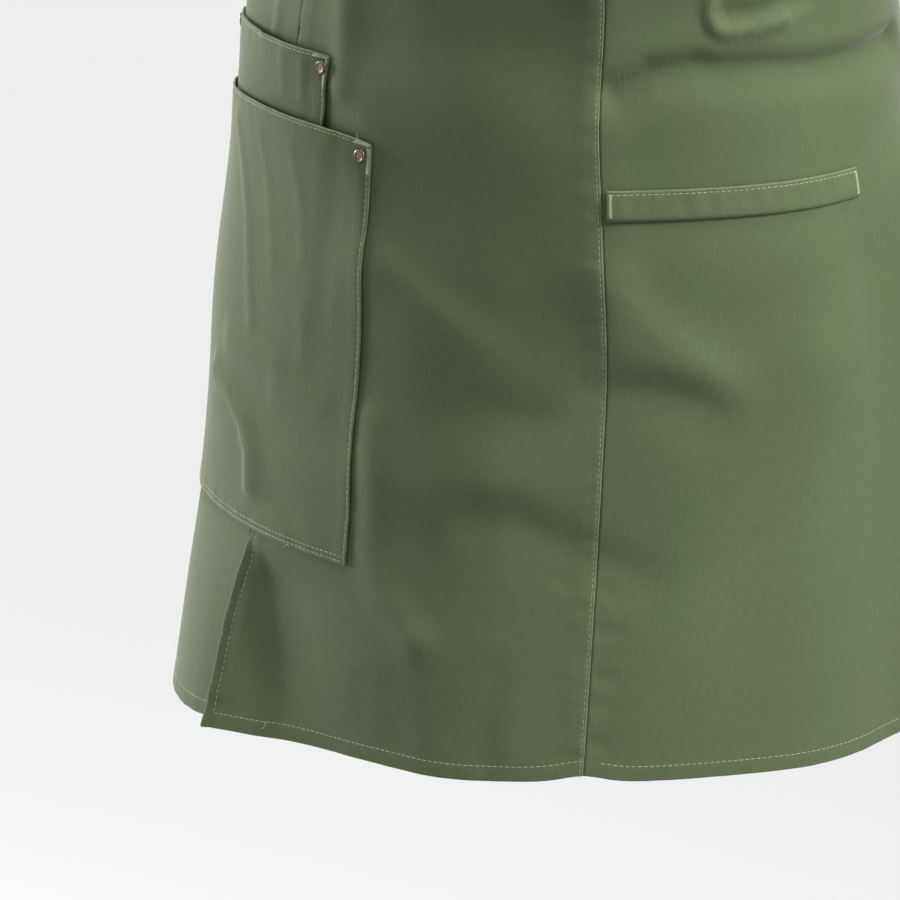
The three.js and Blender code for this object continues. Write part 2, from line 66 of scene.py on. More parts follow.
# How deeply and how far in the edges of straps are rounded, how far in they are painted paler, partly for
# rubbing and partly as a highlight, and a small step along their route
STRAP_ROUNDING = 0.4
STRAP_WEAR_AND_HIGHLIGHT = 0.9
ROUTE_NUDGE = 1e-4


class Side(Enum):
    """The wearer's sides, with the sign of their angles."""

    RIGHT = -1
    LEFT = 1


class Edge(Enum):
    """The edges of a cloth piece; near and far are the ones met first and last going across it."""

    NEAR = "near"
    FAR = "far"
    TOP = "top"
    BOTTOM = "bottom"


class Hold(Enum):
    """How a sheet of cloth is held."""

    HUNG = "hung"
    DRAPED = "draped"
    FOLDED = "folded"


def smooth(value: Array, low: float, high: float) -> Array:
    """Ease from 0 at low to 1 at high."""
    share = np.clip((np.asarray(value, float) - low) / (high - low), 0.0, 1.0)
    return share * share * (3.0 - 2.0 * share)


def between(start: Array, end: Array, share: Array) -> Array:
    """Blend from start to end by a share."""
    return start + (end - start) * share


def bell(value: Array, width: Array | float) -> Array:
    """Fall off softly from 1 at 0, to about a third at the width."""
    return np.exp(-((value / width) ** 2))


def rounded(distance: Array, reach: float, depth: float, through: Array) -> Array:
    """How far the two faces of a cloth come together near its edge."""
    return between(depth, -depth, through) * np.clip(1.0 - np.abs(distance) / reach, 0.0, 1.0) ** 2


def unit(vectors: Array) -> Array:
    """Scale the vector in each row to a length of 1."""
    return vectors / np.maximum(np.linalg.norm(vectors, axis=1, keepdims=True), TINY)


def linear(code: str) -> Four:
    """Turn an sRGB hex colour to linear RGBA.

    Args:
        code: The colour, such as "#5f6a4b".

    Returns:
        The linear red, green, blue and an alpha of 1.
    """
    parts = [int(code[i : i + 2], 16) / 255.0 for i in (1, 3, 5)]
    red, green, blue = (p / 12.92 if p <= 0.04045 else ((p + 0.055) / 1.055) ** 2.4 for p in parts)
    return red, green, blue, 1.0


def add_node(
    tree: bpy.types.NodeTree, kind: str, links: dict | None = None, **settings: object
) -> bpy.types.Node:
    """Add a node with its settings, input values and links.

    Args:
        tree: The node tree.
        kind: The node's type name.
        links: Inputs by name or number, each a value or an output to link from.
        settings: Properties of the node.

    Returns:
        The new node.
    """
    node = tree.nodes.new(kind)
    for key, value in settings.items():
        setattr(node, key, value)
    for key, value in (links or {}).items():
        if isinstance(value, bpy.types.NodeSocket):
            tree.links.new(value, node.inputs[key])
        else:
            node.inputs[key].default_value = value
    return node


class Shading:
    """A node material in the making, with the textures and sums that the finishes share."""

    def __init__(self, name: str) -> None:
        """Start an empty material.

        Args:
            name: The material's name.
        """
        self.material = bpy.data.materials.new(name)
        self.material.use_nodes = True
        self.tree = self.material.node_tree
        self.tree.nodes.clear()

    def cloth_map(self) -> Socket:
        """Places along the piece's own cloth, in metres."""
        return add_node(self.tree, "ShaderNodeUVMap", uv_map="cloth").outputs["UV"]

    def place(self) -> Socket:
        """Places on the piece, in metres."""
        return add_node(self.tree, "ShaderNodeTexCoord").outputs["Object"]

    def bands(self, direction: str, inputs: dict) -> Socket:
        """Even bands across a direction."""
        return add_node(self.tree, "ShaderNodeTexWave", inputs, bands_direction=direction).outputs["Fac"]

    def noise(self, vector: Socket, size: float, detail: float = 2.0) -> Socket:
        """Soft spots of about a size in millimetres."""
        inputs = {"Vector": vector, "Scale": 1.0 / (size * MM), "Detail": detail}
        return add_node(self.tree, "ShaderNodeTexNoise", inputs).outputs["Fac"]

    def math(self, operation: str, *values: Socket | float, clamp: bool = False) -> Socket:
        """A sum of values and outputs."""
        inputs = dict(enumerate(values))
        return add_node(self.tree, "ShaderNodeMath", inputs, operation=operation, use_clamp=clamp).outputs[0]

    def spread(self, inputs: dict) -> Socket:
        """A value moved from one range to another."""
        return add_node(self.tree, "ShaderNodeMapRange", inputs).outputs["Result"]

    def blend(self, share: Socket, low: Socket | tuple, high: Socket | tuple) -> Socket:
        """A colour between two others."""
        inputs = {0: share, 6: low, 7: high}
        return add_node(self.tree, "ShaderNodeMix", inputs, data_type="RGBA").outputs[2]

    def relief(self, height: Socket, strength: float, depth: float) -> Socket:
        """The light and shade of bumps of a depth in millimetres."""
        inputs = {"Height": height, "Strength": strength, "Distance": depth * MM}
        return add_node(self.tree, "ShaderNodeBump", inputs).outputs["Normal"]

    def finish(self, inputs: dict) -> bpy.types.Material:
        """Give the material its Principled shader.

        Args:
            inputs: The shader's inputs by name, each a value or an output to link from.

        Returns:
            The material.
        """
        shader = add_node(self.tree, "ShaderNodeBsdfPrincipled", inputs)
        add_node(self.tree, "ShaderNodeOutputMaterial", {"Surface": shader.outputs["BSDF"]})
        return self.material


@dataclass(frozen=True)
class TwillFinish:
    """Piece-dyed cotton twill: a matt cloth with fine slanted ribs, paler along folded edges, partly from
    rubbing and partly as a painted highlight.
    """

    name: str = "cotton_twill"
    base: str = "#4d573b"
    deep: str = "#495438"
    pale: str = "#505b3f"
    # The paler colour of folded edges, partly real rubbing and partly a painted highlight where they catch
    # the light
    edge_wear_and_highlight: str = "#737c5e"
    edge_wear_and_highlight_gain: float = 1.5
    rib: float = 1.2  # real ribs are about 0.5 mm apart, drawn coarser so that they show
    rib_waver: float = 1.4
    rib_share: float = 0.35
    slub: float = 1.7
    slub_stretch: Triple = (1.0, 0.3, 1.0)
    lint: float = 1.0
    cloud: float = 85.0
    cloud_detail: float = 4.0
    dye_range: Pair = (0.65, 1.35)
    relief: float = 0.03
    relief_strength: float = 0.6
    rough: Pair = (0.8, 0.92)
    sheen: float = 0.2
    sheen_rough: float = 0.3
    gloss: float = 0.15

    def material(self) -> bpy.types.Material:
        """Make the material, with its weave laid along the piece's own cloth map.

        Returns:
            The material.
        """
        shading = Shading(self.name)
        grain = shading.cloth_map()
        # Slanted ribs give the face its fine diagonal
        scale = SLANTED_BAND / (self.rib * MM)
        ribs = shading.bands(
            "DIAGONAL", {"Vector": grain, "Scale": scale, "Distortion": self.rib_waver, "Detail": 2.0}
        )
        # Slubs in the yarn and clouds of the dye keep the green from being flat
        drawn = add_node(shading.tree, "ShaderNodeMapping", {"Vector": grain, "Scale": self.slub_stretch})
        slubs = shading.noise(drawn.outputs["Vector"], self.slub)
        dye = shading.math("ADD", slubs, shading.noise(grain, self.cloud, self.cloud_detail))
        low, high = self.dye_range
        taken = shading.spread({"Value": dye, "From Min": low, "From Max": high})
        ramp = add_node(shading.tree, "ShaderNodeValToRGB", {"Fac": taken})
        ramp.color_ramp.elements[0].color = linear(self.deep)
        ramp.color_ramp.elements[1].color = linear(self.pale)
        ramp.color_ramp.elements.new(0.5).color = linear(self.base)
        # Folded edges are paler, in patches: partly real rubbing, partly a painted highlight where they catch
        # the light
        wear_and_highlight = add_node(shading.tree, "ShaderNodeAttribute", attribute_name="wear_and_highlight").outputs["Fac"]
        patchy = shading.math("MULTIPLY", wear_and_highlight, slubs)
        edge_wear_and_highlight = shading.math("MULTIPLY", patchy, self.edge_wear_and_highlight_gain, clamp=True)
        # Ribs, slubs and lint roughen the surface, so that light falls off softly over the folds
        fuzz = shading.math("ADD", slubs, shading.noise(grain, self.lint))
        weave = shading.math("MULTIPLY_ADD", ribs, self.rib_share, fuzz)
        return shading.finish({
            "Base Color": shading.blend(edge_wear_and_highlight, ramp.outputs["Color"], linear(self.edge_wear_and_highlight)),
            "Roughness": shading.spread({"Value": slubs, "To Min": self.rough[1], "To Max": self.rough[0]}),
            "Normal": shading.relief(weave, self.relief_strength, self.relief),
            "Sheen Weight": self.sheen,
            "Sheen Roughness": self.sheen_rough,
            "Specular IOR Level": self.gloss,
        })


@dataclass(frozen=True)
class PocketingFinish:
    """Plain-woven cotton pocketing: thinner and flatter than twill, with an even cross weave."""

    name: str = "cotton_pocketing"
    base: str = "#525b42"
    pale: str = "#616a50"
    yarn: float = 1.3  # real yarns are about 0.4 mm apart, drawn coarser so that they show
    yarn_waver: float = 0.6
    relief: float = 0.04
    relief_strength: float = 0.5
    rough: float = 0.9
    sheen: float = 0.1

    def material(self) -> bpy.types.Material:
        """Make the material, with warp and weft along the piece's own cloth map.

        Returns:
            The material.
        """
        shading = Shading(self.name)
        # Warp and weft cross in small squares, paler where both are up
        scale = STRAIGHT_BAND / (self.yarn * MM)
        yarns = {"Vector": shading.cloth_map(), "Scale": scale, "Distortion": self.yarn_waver}
        weave = shading.math("MULTIPLY", shading.bands("X", yarns), shading.bands("Y", yarns))
        return shading.finish({
            "Base Color": shading.blend(weave, linear(self.base), linear(self.pale)),
            "Normal": shading.relief(weave, self.relief_strength, self.relief),
            "Roughness": self.rough,
            "Sheen Weight": self.sheen,
        })


@dataclass(frozen=True)
class ThreadFinish:
    """Spun polyester sewing thread: pale, slightly lustrous, a little uneven from stitch to stitch."""

    name: str = "spun_polyester_thread"
    base: str = "#778060"
    pale: str = "#a5a988"
    patch: float = 14.0
    patch_detail: float = 3.0
    rough: float = 0.55
    sheen: float = 0.2

    def material(self) -> bpy.types.Material:
        """Make the material, which varies from place to place along a seam.

        Returns:
            The material.
        """
        shading = Shading(self.name)
        # Some stitches are paler than others, as thread takes up dust and light
        uneven = shading.noise(shading.place(), self.patch, self.patch_detail)
        return shading.finish({
            "Base Color": shading.blend(uneven, linear(self.base), linear(self.pale)),
            "Roughness": self.rough,
            "Sheen Weight": self.sheen,
        })


@dataclass(frozen=True)
class RivetFinish:
    """Antique copper plate: dark patina in patches, worn to greyish metal between them."""

    name: str = "antique_copper"
    metal: str = "#766b5e"
    patina: str = "#41382f"
    spot: float = 1.1
    spot_detail: float = 4.0
    spot_range: Pair = (0.35, 0.65)
    rough: Pair = (0.34, 0.6)
    relief: float = 0.05
    relief_strength: float = 0.4

    def material(self) -> bpy.types.Material:
        """Make the material, with patches of patina about a millimetre across.

        Returns:
            The material.
        """
        shading = Shading(self.name)
        # Dull dark spots between brighter rubbed ones make the metal look old
        spots = shading.noise(shading.place(), self.spot, self.spot_detail)
        low, high = self.spot_range
        worn = shading.spread({"Value": spots, "From Min": low, "From Max": high})
        return shading.finish({
            "Base Color": shading.blend(worn, linear(self.patina), linear(self.metal)),
            "Roughness": shading.spread({"Value": worn, "To Min": self.rough[1], "To Max": self.rough[0]}),
            "Normal": shading.relief(spots, self.relief_strength, self.relief),
            "Metallic": 1.0,
        })


@dataclass(frozen=True)
class FloorFinish:
    """Matt painted board: a plain pale floor with a barely uneven roller coat."""

    name: str = "matt_painted_board"
    base: str = "#cbcccb"
    coat: float = 30.0
    relief: float = 0.2
    relief_strength: float = 0.1
    rough: float = 0.9
    gloss: float = 0.1

    def material(self) -> bpy.types.Material:
        """Make the material, with the faint relief of a rolled coat.

        Returns:
            The material.
        """
        shading = Shading(self.name)
        # The coat's unevenness only just breaks the floor's evenness
        coat = shading.noise(shading.place(), self.coat)
        return shading.finish({
            "Base Color": linear(self.base),
            "Normal": shading.relief(coat, self.relief_strength, self.relief),
            "Roughness": self.rough,
            "Specular IOR Level": self.gloss,
        })


class Profile:
    """A smooth curve through values at heights that run downwards."""

    def __init__(self, heights: Sequence[float], values: Sequence[float]) -> None:
        """Keep the knots and work out the slope at each.

        Args:
            heights: The knots' heights, highest first.
            values: The value at each height.
        """
        self.heights = np.array(heights, float)
        self.values = np.array(values, float)
        index = np.arange(len(self.heights))
        before = np.maximum(index - 1, 0)
        after = np.minimum(index + 1, len(index) - 1)
        change = self.values[after] - self.values[before]
        self.slopes = change / (self.heights[after] - self.heights[before])

    def at(self, height: Array) -> Array:
        """Read the curve.

        Args:
            height: The heights to read at.

        Returns:
            The value at each height.
        """
        height = np.asarray(height, float)
        i = np.clip(np.searchsorted(-self.heights, -height) - 1, 0, len(self.heights) - 2)
        span = self.heights[i + 1] - self.heights[i]
        t = np.clip((height - self.heights[i]) / span, 0.0, 1.0)
        start = self.values[i] * (1 - t) ** 2 * (1 + 2 * t)
        end = self.values[i + 1] * t**2 * (3 - 2 * t)
        return start + end + span * t * (1 - t) * ((1 - t) * self.slopes[i] - t * self.slopes[i + 1])


@dataclass(frozen=True)
class Fold:
    """A soft ridge, or with a negative rise a valley, along a path of angles and heights on the form.

    Attributes:
        path: The angles and heights that it goes through.
        half_width: How far it reaches on the left of its path.
        rise: How far it lifts the cloth.
        lean: How many times as far it reaches on the right of its path.
    """

    path: Places
    half_width: float
    rise: float
    lean: float = 1.0


# Height, half width and half depth of the oval form, from above the bib to below the hem
FORM_LEVELS = (
    (-110, 136, 54), (-150, 146, 72), (-210, 153, 102), (-265, 157, 122), (-330, 152, 124), (-395, 151, 127),
    (-430, 162, 138), (-479, 171.7, 146), (-560, 179.5, 151), (-640, 190, 158), (-730, 196, 171),
    (-800, 204.5, 188), (-860, 211, 205),
)

# Height and the angles of the centre panel's right and left edges
SEAM_LEVELS = (
    (-150, -39, 39), (-232, -35, 35), (-310, -31.5, 31.5), (-395, -30, 30), (-450, -30.6, 30.2),
    (-512, -31.2, 28.95), (-560, -31.4, 29.3), (-620, -31.8, 29.6), (-675, -32.2, 29.3), (-742, -32.6, 29.0),
    (-765, -32.3, 28.9), (-800, -31.3, 28.8), (-850, -30.4, 28.8),
)

# Height and the angle of the side panels' back edges
BACK_LEVELS = ((-380, 112), (-560, 114), (-860, 118))

FOLDS = (
    # On the pockets: creases down from the mouths, a slanting roll and the drag of the lower edge
    Fold(((-50, -538), (-42.3, -584), (-37.7, -637)), 4.5, 0.9),
    Fold(((-38, -538), (-34, -584), (-32.4, -606)), 4.0, 0.5),
    Fold(((-28, -540), (-25.1, -578), (-24.5, -596)), 4.5, 0.5),
    Fold(((-23.6, -620), (-22.7, -645)), 4.0, 0.35),
    Fold(((-30, -662), (-29.8, -674)), 3.0, 0.3),
    Fold(((-17.5, -584), (-16.7, -618)), 6.0, 0.35),
    Fold(((-51, -673), (-43.9, -678), (-38, -689), (-34.9, -703), (-34, -718)), 9.0, 3.2, 0.6),
    Fold(((-45, -650), (-30, -654)), 8.5, 1.6, 1.2),
    Fold(((-27, -663.5), (-18, -667)), 8.5, 1.5, 1.2),
    Fold(((-27.3, -719), (-22, -727)), 4.0, -0.7),
    Fold(((-38, -440), (-39, -485)), 5.0, 1.0),
    Fold(((-31.5, -493), (-32.5, -512)), 3.0, 0.5),
    Fold(((-26, -494), (-27, -514)), 3.0, 0.6),
    # On the front: the break beside the pockets, the hollow below the waist and the drag lines
    Fold(((-20, -440), (-19, -470), (-18.3, -490), (-18.8, -503)), 9.0, 2.6),
    Fold(((-13, -505), (-12, -560), (-11.5, -588)), 18.0, 2.2),
    Fold(((-7.5, -670), (-6.6, -704), (-6.5, -733), (-4, -753), (0.2, -766), (3, -775)), 9.0, 2.0),
    Fold(((3, -775), (5.4, -789), (6.2, -803), (7, -838)), 10.0, 0.8),
    Fold(((-8, -476), (6, -472), (20, -478)), 30.0, -4.0),
    Fold(((-6, -594), (-2, -603), (4, -616), (9, -624)), 12.0, 1.6, 3.0),
    Fold(((-6, -594), (1, -609)), 12.0, 2.2, 3.2),
    Fold(((7, -600), (7, -690), (7, -770)), 34.0, 2.4),
    Fold(((10, -656), (14.9, -660), (26, -665.5)), 13.0, -1.9, 1.8),
    Fold(((-6, -692), (3, -698), (10, -694)), 36.0, 3.2, 0.55),
    Fold(((11, -710), (15.9, -710), (20.7, -719), (26.1, -727), (29.6, -731), (35, -737)), 12.0, -2.4, 1.2),
    # Along the hem: the hem's own fall, and short dents and ridges above it
    Fold(((-27, -842), (-12, -850)), 40.0, -5.0),
    Fold(((-5.4, -800), (-5.3, -820)), 6.0, -0.5),
    Fold(((-1.2, -804), (2.1, -824)), 8.0, -0.6),
    Fold(((3.1, -787), (4.3, -804), (5.3, -824)), 6.0, 0.5),
    Fold(((14.6, -785), (15.4, -802)), 7.0, -0.6),
    Fold(((14.3, -812), (14.5, -829)), 6.0, -0.5),
    Fold(((18.4, -805), (18.2, -826)), 7.0, 0.6),
    Fold(((23.2, -792), (25.6, -826)), 7.0, -0.6),
    # Along the left seam: the break of the cloth, and puckers near the hem
    Fold(((30.2, -450), (29, -512), (29.3, -560), (29.6, -620)), 15.0, 2.2, 2.4),
    Fold(((29.7, -744), (31.4, -746)), 3.5, -0.8),
    Fold(((30, -764), (31.8, -765)), 3.5, -0.8),
    Fold(((29.9, -787), (31.8, -788)), 3.5, -0.9),
    Fold(((29.4, -800), (31.1, -801)), 3.5, -0.7),
    Fold(((29.7, -819), (31.5, -820)), 3.5, -0.9),
    Fold(((24.5, -741), (22.9, -740)), 4.0, -0.6),
    # On the left panel: the roll and pouch under the tie and the slack of the hip
    Fold(
        ((49.3, -444), (48.8, -456), (49.2, -462.5), (51, -466), (53.6, -466.6), (58, -465), (64, -462)),
        3.5, 3.4,
    ),
    Fold(((52.5, -457), (57, -457), (70, -452)), 5.0, -4.0),
    Fold(((62, -446), (100, -440)), 20.0, 4.0),
    Fold(((28, -436), (47, -435)), 17.0, 6.0),
    Fold(
        ((31.6, -493), (37.7, -485), (45.8, -482), (50, -484.5), (57, -485), (72, -488), (100, -487)),
        6.5, -6.5, 1.8,
    ),
    Fold(((36, -574), (64, -580)), 30.0, 3.6),
    Fold(((30.4, -592), (33.1, -605), (38.1, -621), (44.3, -635), (46, -640)), 14.0, 3.8, 1.4),
    Fold(((29.8, -645), (34.2, -645), (38.9, -646.5), (43.2, -650), (45.5, -653.5)), 11.0, -4.2, 1.6),
    Fold(((66, -640), (62, -840)), 26.0, 4.0),
    # Round the back
    Fold(((101, -560), (103, -838)), 22.0, 8.0),
    Fold(((84, -600), (82, -838)), 24.0, -5.0),
    Fold(((-76, -440), (-102, -432)), 20.0, 7.0),
    Fold(((-91, -620), (-86, -838)), 24.0, 5.0),
    Fold(((-108, -560), (-110, -838)), 20.0, 7.0),
    # On the bib
    Fold(((24, -205), (10, -270)), 20.0, 2.5),
    Fold(((-24, -205), (-10, -270)), 20.0, 2.5),
)


@dataclass
class WornForm:
    """The body form that the cloth lies on, with the folds that the cloth has there."""

    axis_y: float = -70.0
    fold_radius: float = 170.0
    ripple_height: float = 0.35
    ripple_lengths: Pair = (55.0, 150.0)
    ripple_turn: float = 0.7
    ripple_count: int = 10
    seed: int = 7
    half_width: Profile = field(init=False)
    half_depth: Profile = field(init=False)
    ripples: Array = field(init=False)

    def __post_init__(self) -> None:
        """Set up the form's sections and the seeded ripples of the cloth."""
        heights, widths, depths = zip(*FORM_LEVELS)
        self.half_width = Profile(heights, widths)
        self.half_depth = Profile(heights, depths)
        chance = np.random.default_rng(self.seed)
        turn = chance.uniform(-self.ripple_turn, self.ripple_turn, self.ripple_count)
        wave = 2 * math.pi / chance.uniform(*self.ripple_lengths, self.ripple_count)
        phase = chance.uniform(0, 2 * math.pi, self.ripple_count)
        self.ripples = np.stack([wave * np.cos(turn), wave * np.sin(turn), phase])

    def rise(self, angle: Array, height: Array) -> Array:
        """How far the folds and ripples lift the cloth.

        Args:
            angle: The angles.
            height: The heights.

        Returns:
            The lift at each place.
        """
        x = np.radians(angle) * self.fold_radius
        total = np.zeros_like(x)
        for across, down, phase in self.ripples.T:
            total += np.sin(across * x + down * height + phase)
        total *= self.ripple_height / math.sqrt(self.ripple_count)
        for fold in FOLDS:
            away = self.distance(fold, x, height) / fold.half_width
            total += fold.rise * bell(away, 1.0)
        return total

    def distance(self, fold: Fold, x: Array, height: Array) -> Array:
        """The distance from a fold's path laid out flat.

        Args:
            fold: The fold.
            x: Distances round the form.
            height: The heights.

        Returns:
            The shortest distance at each place, shortened on the side to which the fold leans.
        """
        nearest = np.full_like(x, np.inf)
        right = np.zeros_like(x)
        for (angle, level), (next_angle, next_level) in zip(fold.path, fold.path[1:]):
            from_x = math.radians(angle) * self.fold_radius
            along_x = math.radians(next_angle) * self.fold_radius - from_x
            along_z = next_level - level
            reach_x, reach_z = x - from_x, height - level
            share = np.clip((reach_x * along_x + reach_z * along_z) / (along_x**2 + along_z**2), 0.0, 1.0)
            away = np.hypot(reach_x - share * along_x, reach_z - share * along_z)
            side = (along_x * reach_z - along_z * reach_x) / math.hypot(along_x, along_z)
            right = np.where(away < nearest, 0.5 - 0.5 * side / np.maximum(away, 1e-6), right)
            nearest = np.minimum(nearest, away)
        return nearest / between(1.0, fold.lean, right)

    def outward(self, angle: Array, height: Array) -> Array:
        """The level direction in which the form looks.

        Args:
            angle: The angles.
            height: The heights.

        Returns:
            A unit vector for each place.
        """
        turn = np.radians(angle)
        x = np.sin(turn) / self.half_width.at(height)
        y = -np.cos(turn) / self.half_depth.at(height)
        size = np.hypot(x, y)
        return np.stack([x / size, y / size, np.zeros_like(x)], axis=-1)

    def point(self, angle: Array, height: Array, out: Array) -> Array:
        """Points on the form, moved out by a distance.

        Args:
            angle: The angles.
            height: The heights.
            out: The distances out from the form.

        Returns:
            The points, in metres.
        """
        angle, height, out = np.broadcast_arrays(*(np.asarray(a, float) for a in (angle, height, out)))
        turn = np.radians(angle)
        x = self.half_width.at(height) * np.sin(turn)
        y = self.axis_y - self.half_depth.at(height) * np.cos(turn)
        lift = (out + self.rise(angle, height))[..., None]
        return (np.stack([x, y, height], axis=-1) + self.outward(angle, height) * lift) * MM

    def radius(self, angle: Array, height: Array) -> Array:
        """Millimetres round the form for each radian of angle."""
        turn = np.radians(angle)
        return np.hypot(self.half_width.at(height) * np.cos(turn), self.half_depth.at(height) * np.sin(turn))

    def span(self, turn: Array, angle: Array, height: Array) -> Array:
        """Millimetres round the form that a turn of some degrees covers."""
        return np.radians(turn) * self.radius(angle, height)

    def degrees(self, distance: Array, angle: Array, height: Array) -> Array:
        """Degrees round the form that cover a distance on it."""
        return np.degrees(distance / self.radius(angle, height))


@dataclass
class Pattern:
    """The cut of the apron: its levels, seams, slit and hem."""

    bib_top: float = -150.0
    armhole_top: float = -226.44
    armhole_foot: float = -380.0
    armhole_scoop: float = 2.2
    armhole_run: float = 235.0
    slit_top: float = -742.0
    hem: float = -838.0
    hem_dip: float = 1.9
    hem_dip_angle: float = 10.0
    hem_dip_reach: float = 9.0
    side_hem_drop: Pair = (4.5, 9.5)
    side_hem_reach: float = 30.0
    seam_hem_lift: float = 3.0
    seam_hem_reach: float = 4.0
    right_seam: Profile = field(init=False)
    left_seam: Profile = field(init=False)
    back_edge: Profile = field(init=False)

    def __post_init__(self) -> None:
        """Set up the seams and back edges."""
        heights, rights, lefts = zip(*SEAM_LEVELS)
        self.right_seam = Profile(heights, rights)
        self.left_seam = Profile(heights, lefts)
        self.back_edge = Profile(*zip(*BACK_LEVELS))

    def seam(self, side: Side, height: Array) -> Array:
        """The angle of a seam from the middle of the front, as a positive number."""
        return np.abs((self.left_seam if side is Side.LEFT else self.right_seam).at(height))

    def armhole(self, share: Array) -> Array:
        """The armhole's height, from 0 at the seam to 1 at the back corner."""
        return between(self.armhole_foot, self.armhole_top, (1.0 - share) ** self.armhole_scoop)

    def armhole_slope(self, share: Array) -> Array:
        """How steeply the armhole falls."""
        drop = (self.armhole_top - self.armhole_foot) * self.armhole_scoop
        return drop * (1.0 - share) ** (self.armhole_scoop - 1.0) / self.armhole_run

    def slit_share(self, height: Array) -> Array:
        """Grow from 0 at the slit's top to 1 at the hem."""
        return smooth(-np.asarray(height, float), -self.slit_top, -self.hem)

    def front_hem(self, angle: Array) -> Array:
        """The height of the hem, which hangs lower left of the middle and is drawn up at the left seam.

        Args:
            angle: The angles.

        Returns:
            The height at each angle.
        """
        seam = float(self.left_seam.at(self.hem))
        dip = self.hem_dip * bell(angle - self.hem_dip_angle, self.hem_dip_reach)
        lift = self.seam_hem_lift * bell(angle - seam, self.seam_hem_reach)
        return self.hem - dip + lift

    def side_hem(self, side: Side, angle: Array) -> Array:
        """The height of a side panel's hem, at a positive angle.

        Args:
            side: Which side it is.
            angle: The angles.

        Returns:
            The height at each angle.
        """
        if side is Side.LEFT:
            return self.front_hem(angle)
        corner = -float(self.right_seam.at(self.hem))
        share = smooth(angle, corner, corner + self.side_hem_reach)
        return self.hem - between(*self.side_hem_drop, share)


@dataclass(frozen=True)
class Hem:
    """How one edge of a cloth piece is turned and stitched.

    Attributes:
        edge: Which edge it is.
        turn: How deep the cloth is turned in.
        face: How much the turned cloth lifts the face.
        back: How much it thickens the back.
        rows: Distances of the stitch rows from the edge.
        pucker: How far the stitching puckers the cloth.
        soft: How gradually the turned cloth ends.
        curl: How far the folded edge stands off.
        wear_and_highlight: How much paler the folded edge is painted, partly for rubbing and partly as a
            highlight.
    """

    edge: Edge
    turn: float
    face: float = 0.3
    back: float = 0.0
    rows: tuple[float, ...] = ()
    pucker: float = 0.15
    soft: float = 0.7
    curl: float = 0.0
    wear_and_highlight: float = 0.4


def grid_lines(span: float, step: float, near: bool = True, far: bool = True) -> Array:
    """Places of grid lines from 0 to 1, closer together along an edge with stitches.

    Args:
        span: The distance covered.
        step: The usual distance between lines.
        near: Whether the first end is an edge.
        far: Whether the last end is an edge.

    Returns:
        The places, as shares of the span.
    """
    close = np.array(EDGE_LINES)
    start = close if near else np.array([0.0])
    end = span - close[::-1] if far else np.array([span])
    count = max(2, round((end[0] - start[-1]) / step) + 1)
    middle = np.linspace(start[-1], end[0], count)[1:-1]
    return np.concatenate([start, middle, end]) / span


def new_mesh(name: str, bm: bmesh.types.BMesh) -> bpy.types.Mesh:
    """Turn an edit mesh to a plain one, and free it.

    Args:
        name: The mesh's name.
        bm: The edit mesh.

    Returns:
        The new mesh.
    """
    mesh = bpy.data.meshes.new(name)
    bm.to_mesh(mesh)
    bm.free()
    return mesh


def cloth_shell(
    name: str, across: Array, along: Array, shape: Shape, keep: Callable[[Array, Array], Array] | None = None
) -> bpy.types.Object:
    """Make a closed sheet of cloth from a grid with two faces.

    Args:
        name: The piece's name.
        across: Places of the grid lines across.
        along: Places of the grid lines along.
        shape: Gives points in metres, cloth map and edge paleness, partly rubbing and partly painted
            highlight, for places across, along and through the cloth.
        keep: Says which places are cloth, where the sheet has an opening.

    Returns:
        The new object.
    """
    bm = bmesh.new()
    bmesh.ops.create_grid(bm, x_segments=len(across) - 1, y_segments=len(along) - 1, size=0.5)
    if keep is not None:
        centres = np.array([f.calc_center_median()[:2] for f in bm.faces]) + 0.5
        column = np.interp(centres[:, 0] * (len(across) - 1), np.arange(len(across)), across)
        row = np.interp(centres[:, 1] * (len(along) - 1), np.arange(len(along)), along)
        stays = keep(column, row)
        gone = [f for f, stay in zip(bm.faces, stays) if not stay]
        bmesh.ops.delete(bm, geom=gone, context="FACES")
    lifted = bmesh.ops.extrude_face_region(bm, geom=bm.faces[:], use_keep_orig=True)
    raised = [g for g in lifted["geom"] if isinstance(g, bmesh.types.BMVert)]
    bmesh.ops.translate(bm, vec=(0.0, 0.0, 1.0), verts=raised)
    bmesh.ops.recalc_face_normals(bm, faces=bm.faces[:])
    mesh = new_mesh(name, bm)
    flat = np.empty(len(mesh.vertices) * 3, np.float32)
    mesh.vertices.foreach_get("co", flat)
    flat = flat.reshape(-1, 3)
    column = np.rint((flat[:, 0] + 0.5) * (len(across) - 1)).astype(int)
    row = np.rint((flat[:, 1] + 0.5) * (len(along) - 1)).astype(int)
    points, grain, wear_and_highlight = shape(across[column], along[row], flat[:, 2].astype(float))
    mesh.vertices.foreach_set("co", points.astype(np.float32).ravel())
    corners = np.empty(len(mesh.loops), np.int32)
    mesh.loops.foreach_get("vertex_index", corners)
    mesh.uv_layers.new(name="cloth").data.foreach_set("uv", grain[corners].astype(np.float32).ravel())
    # The paleness of edges, partly rubbing and partly a painted highlight, read by the twill's colour
    mesh.attributes.new("wear_and_highlight", "FLOAT", "POINT").data.foreach_set("value", wear_and_highlight.astype(np.float32))
    return finish_mesh(name, mesh)


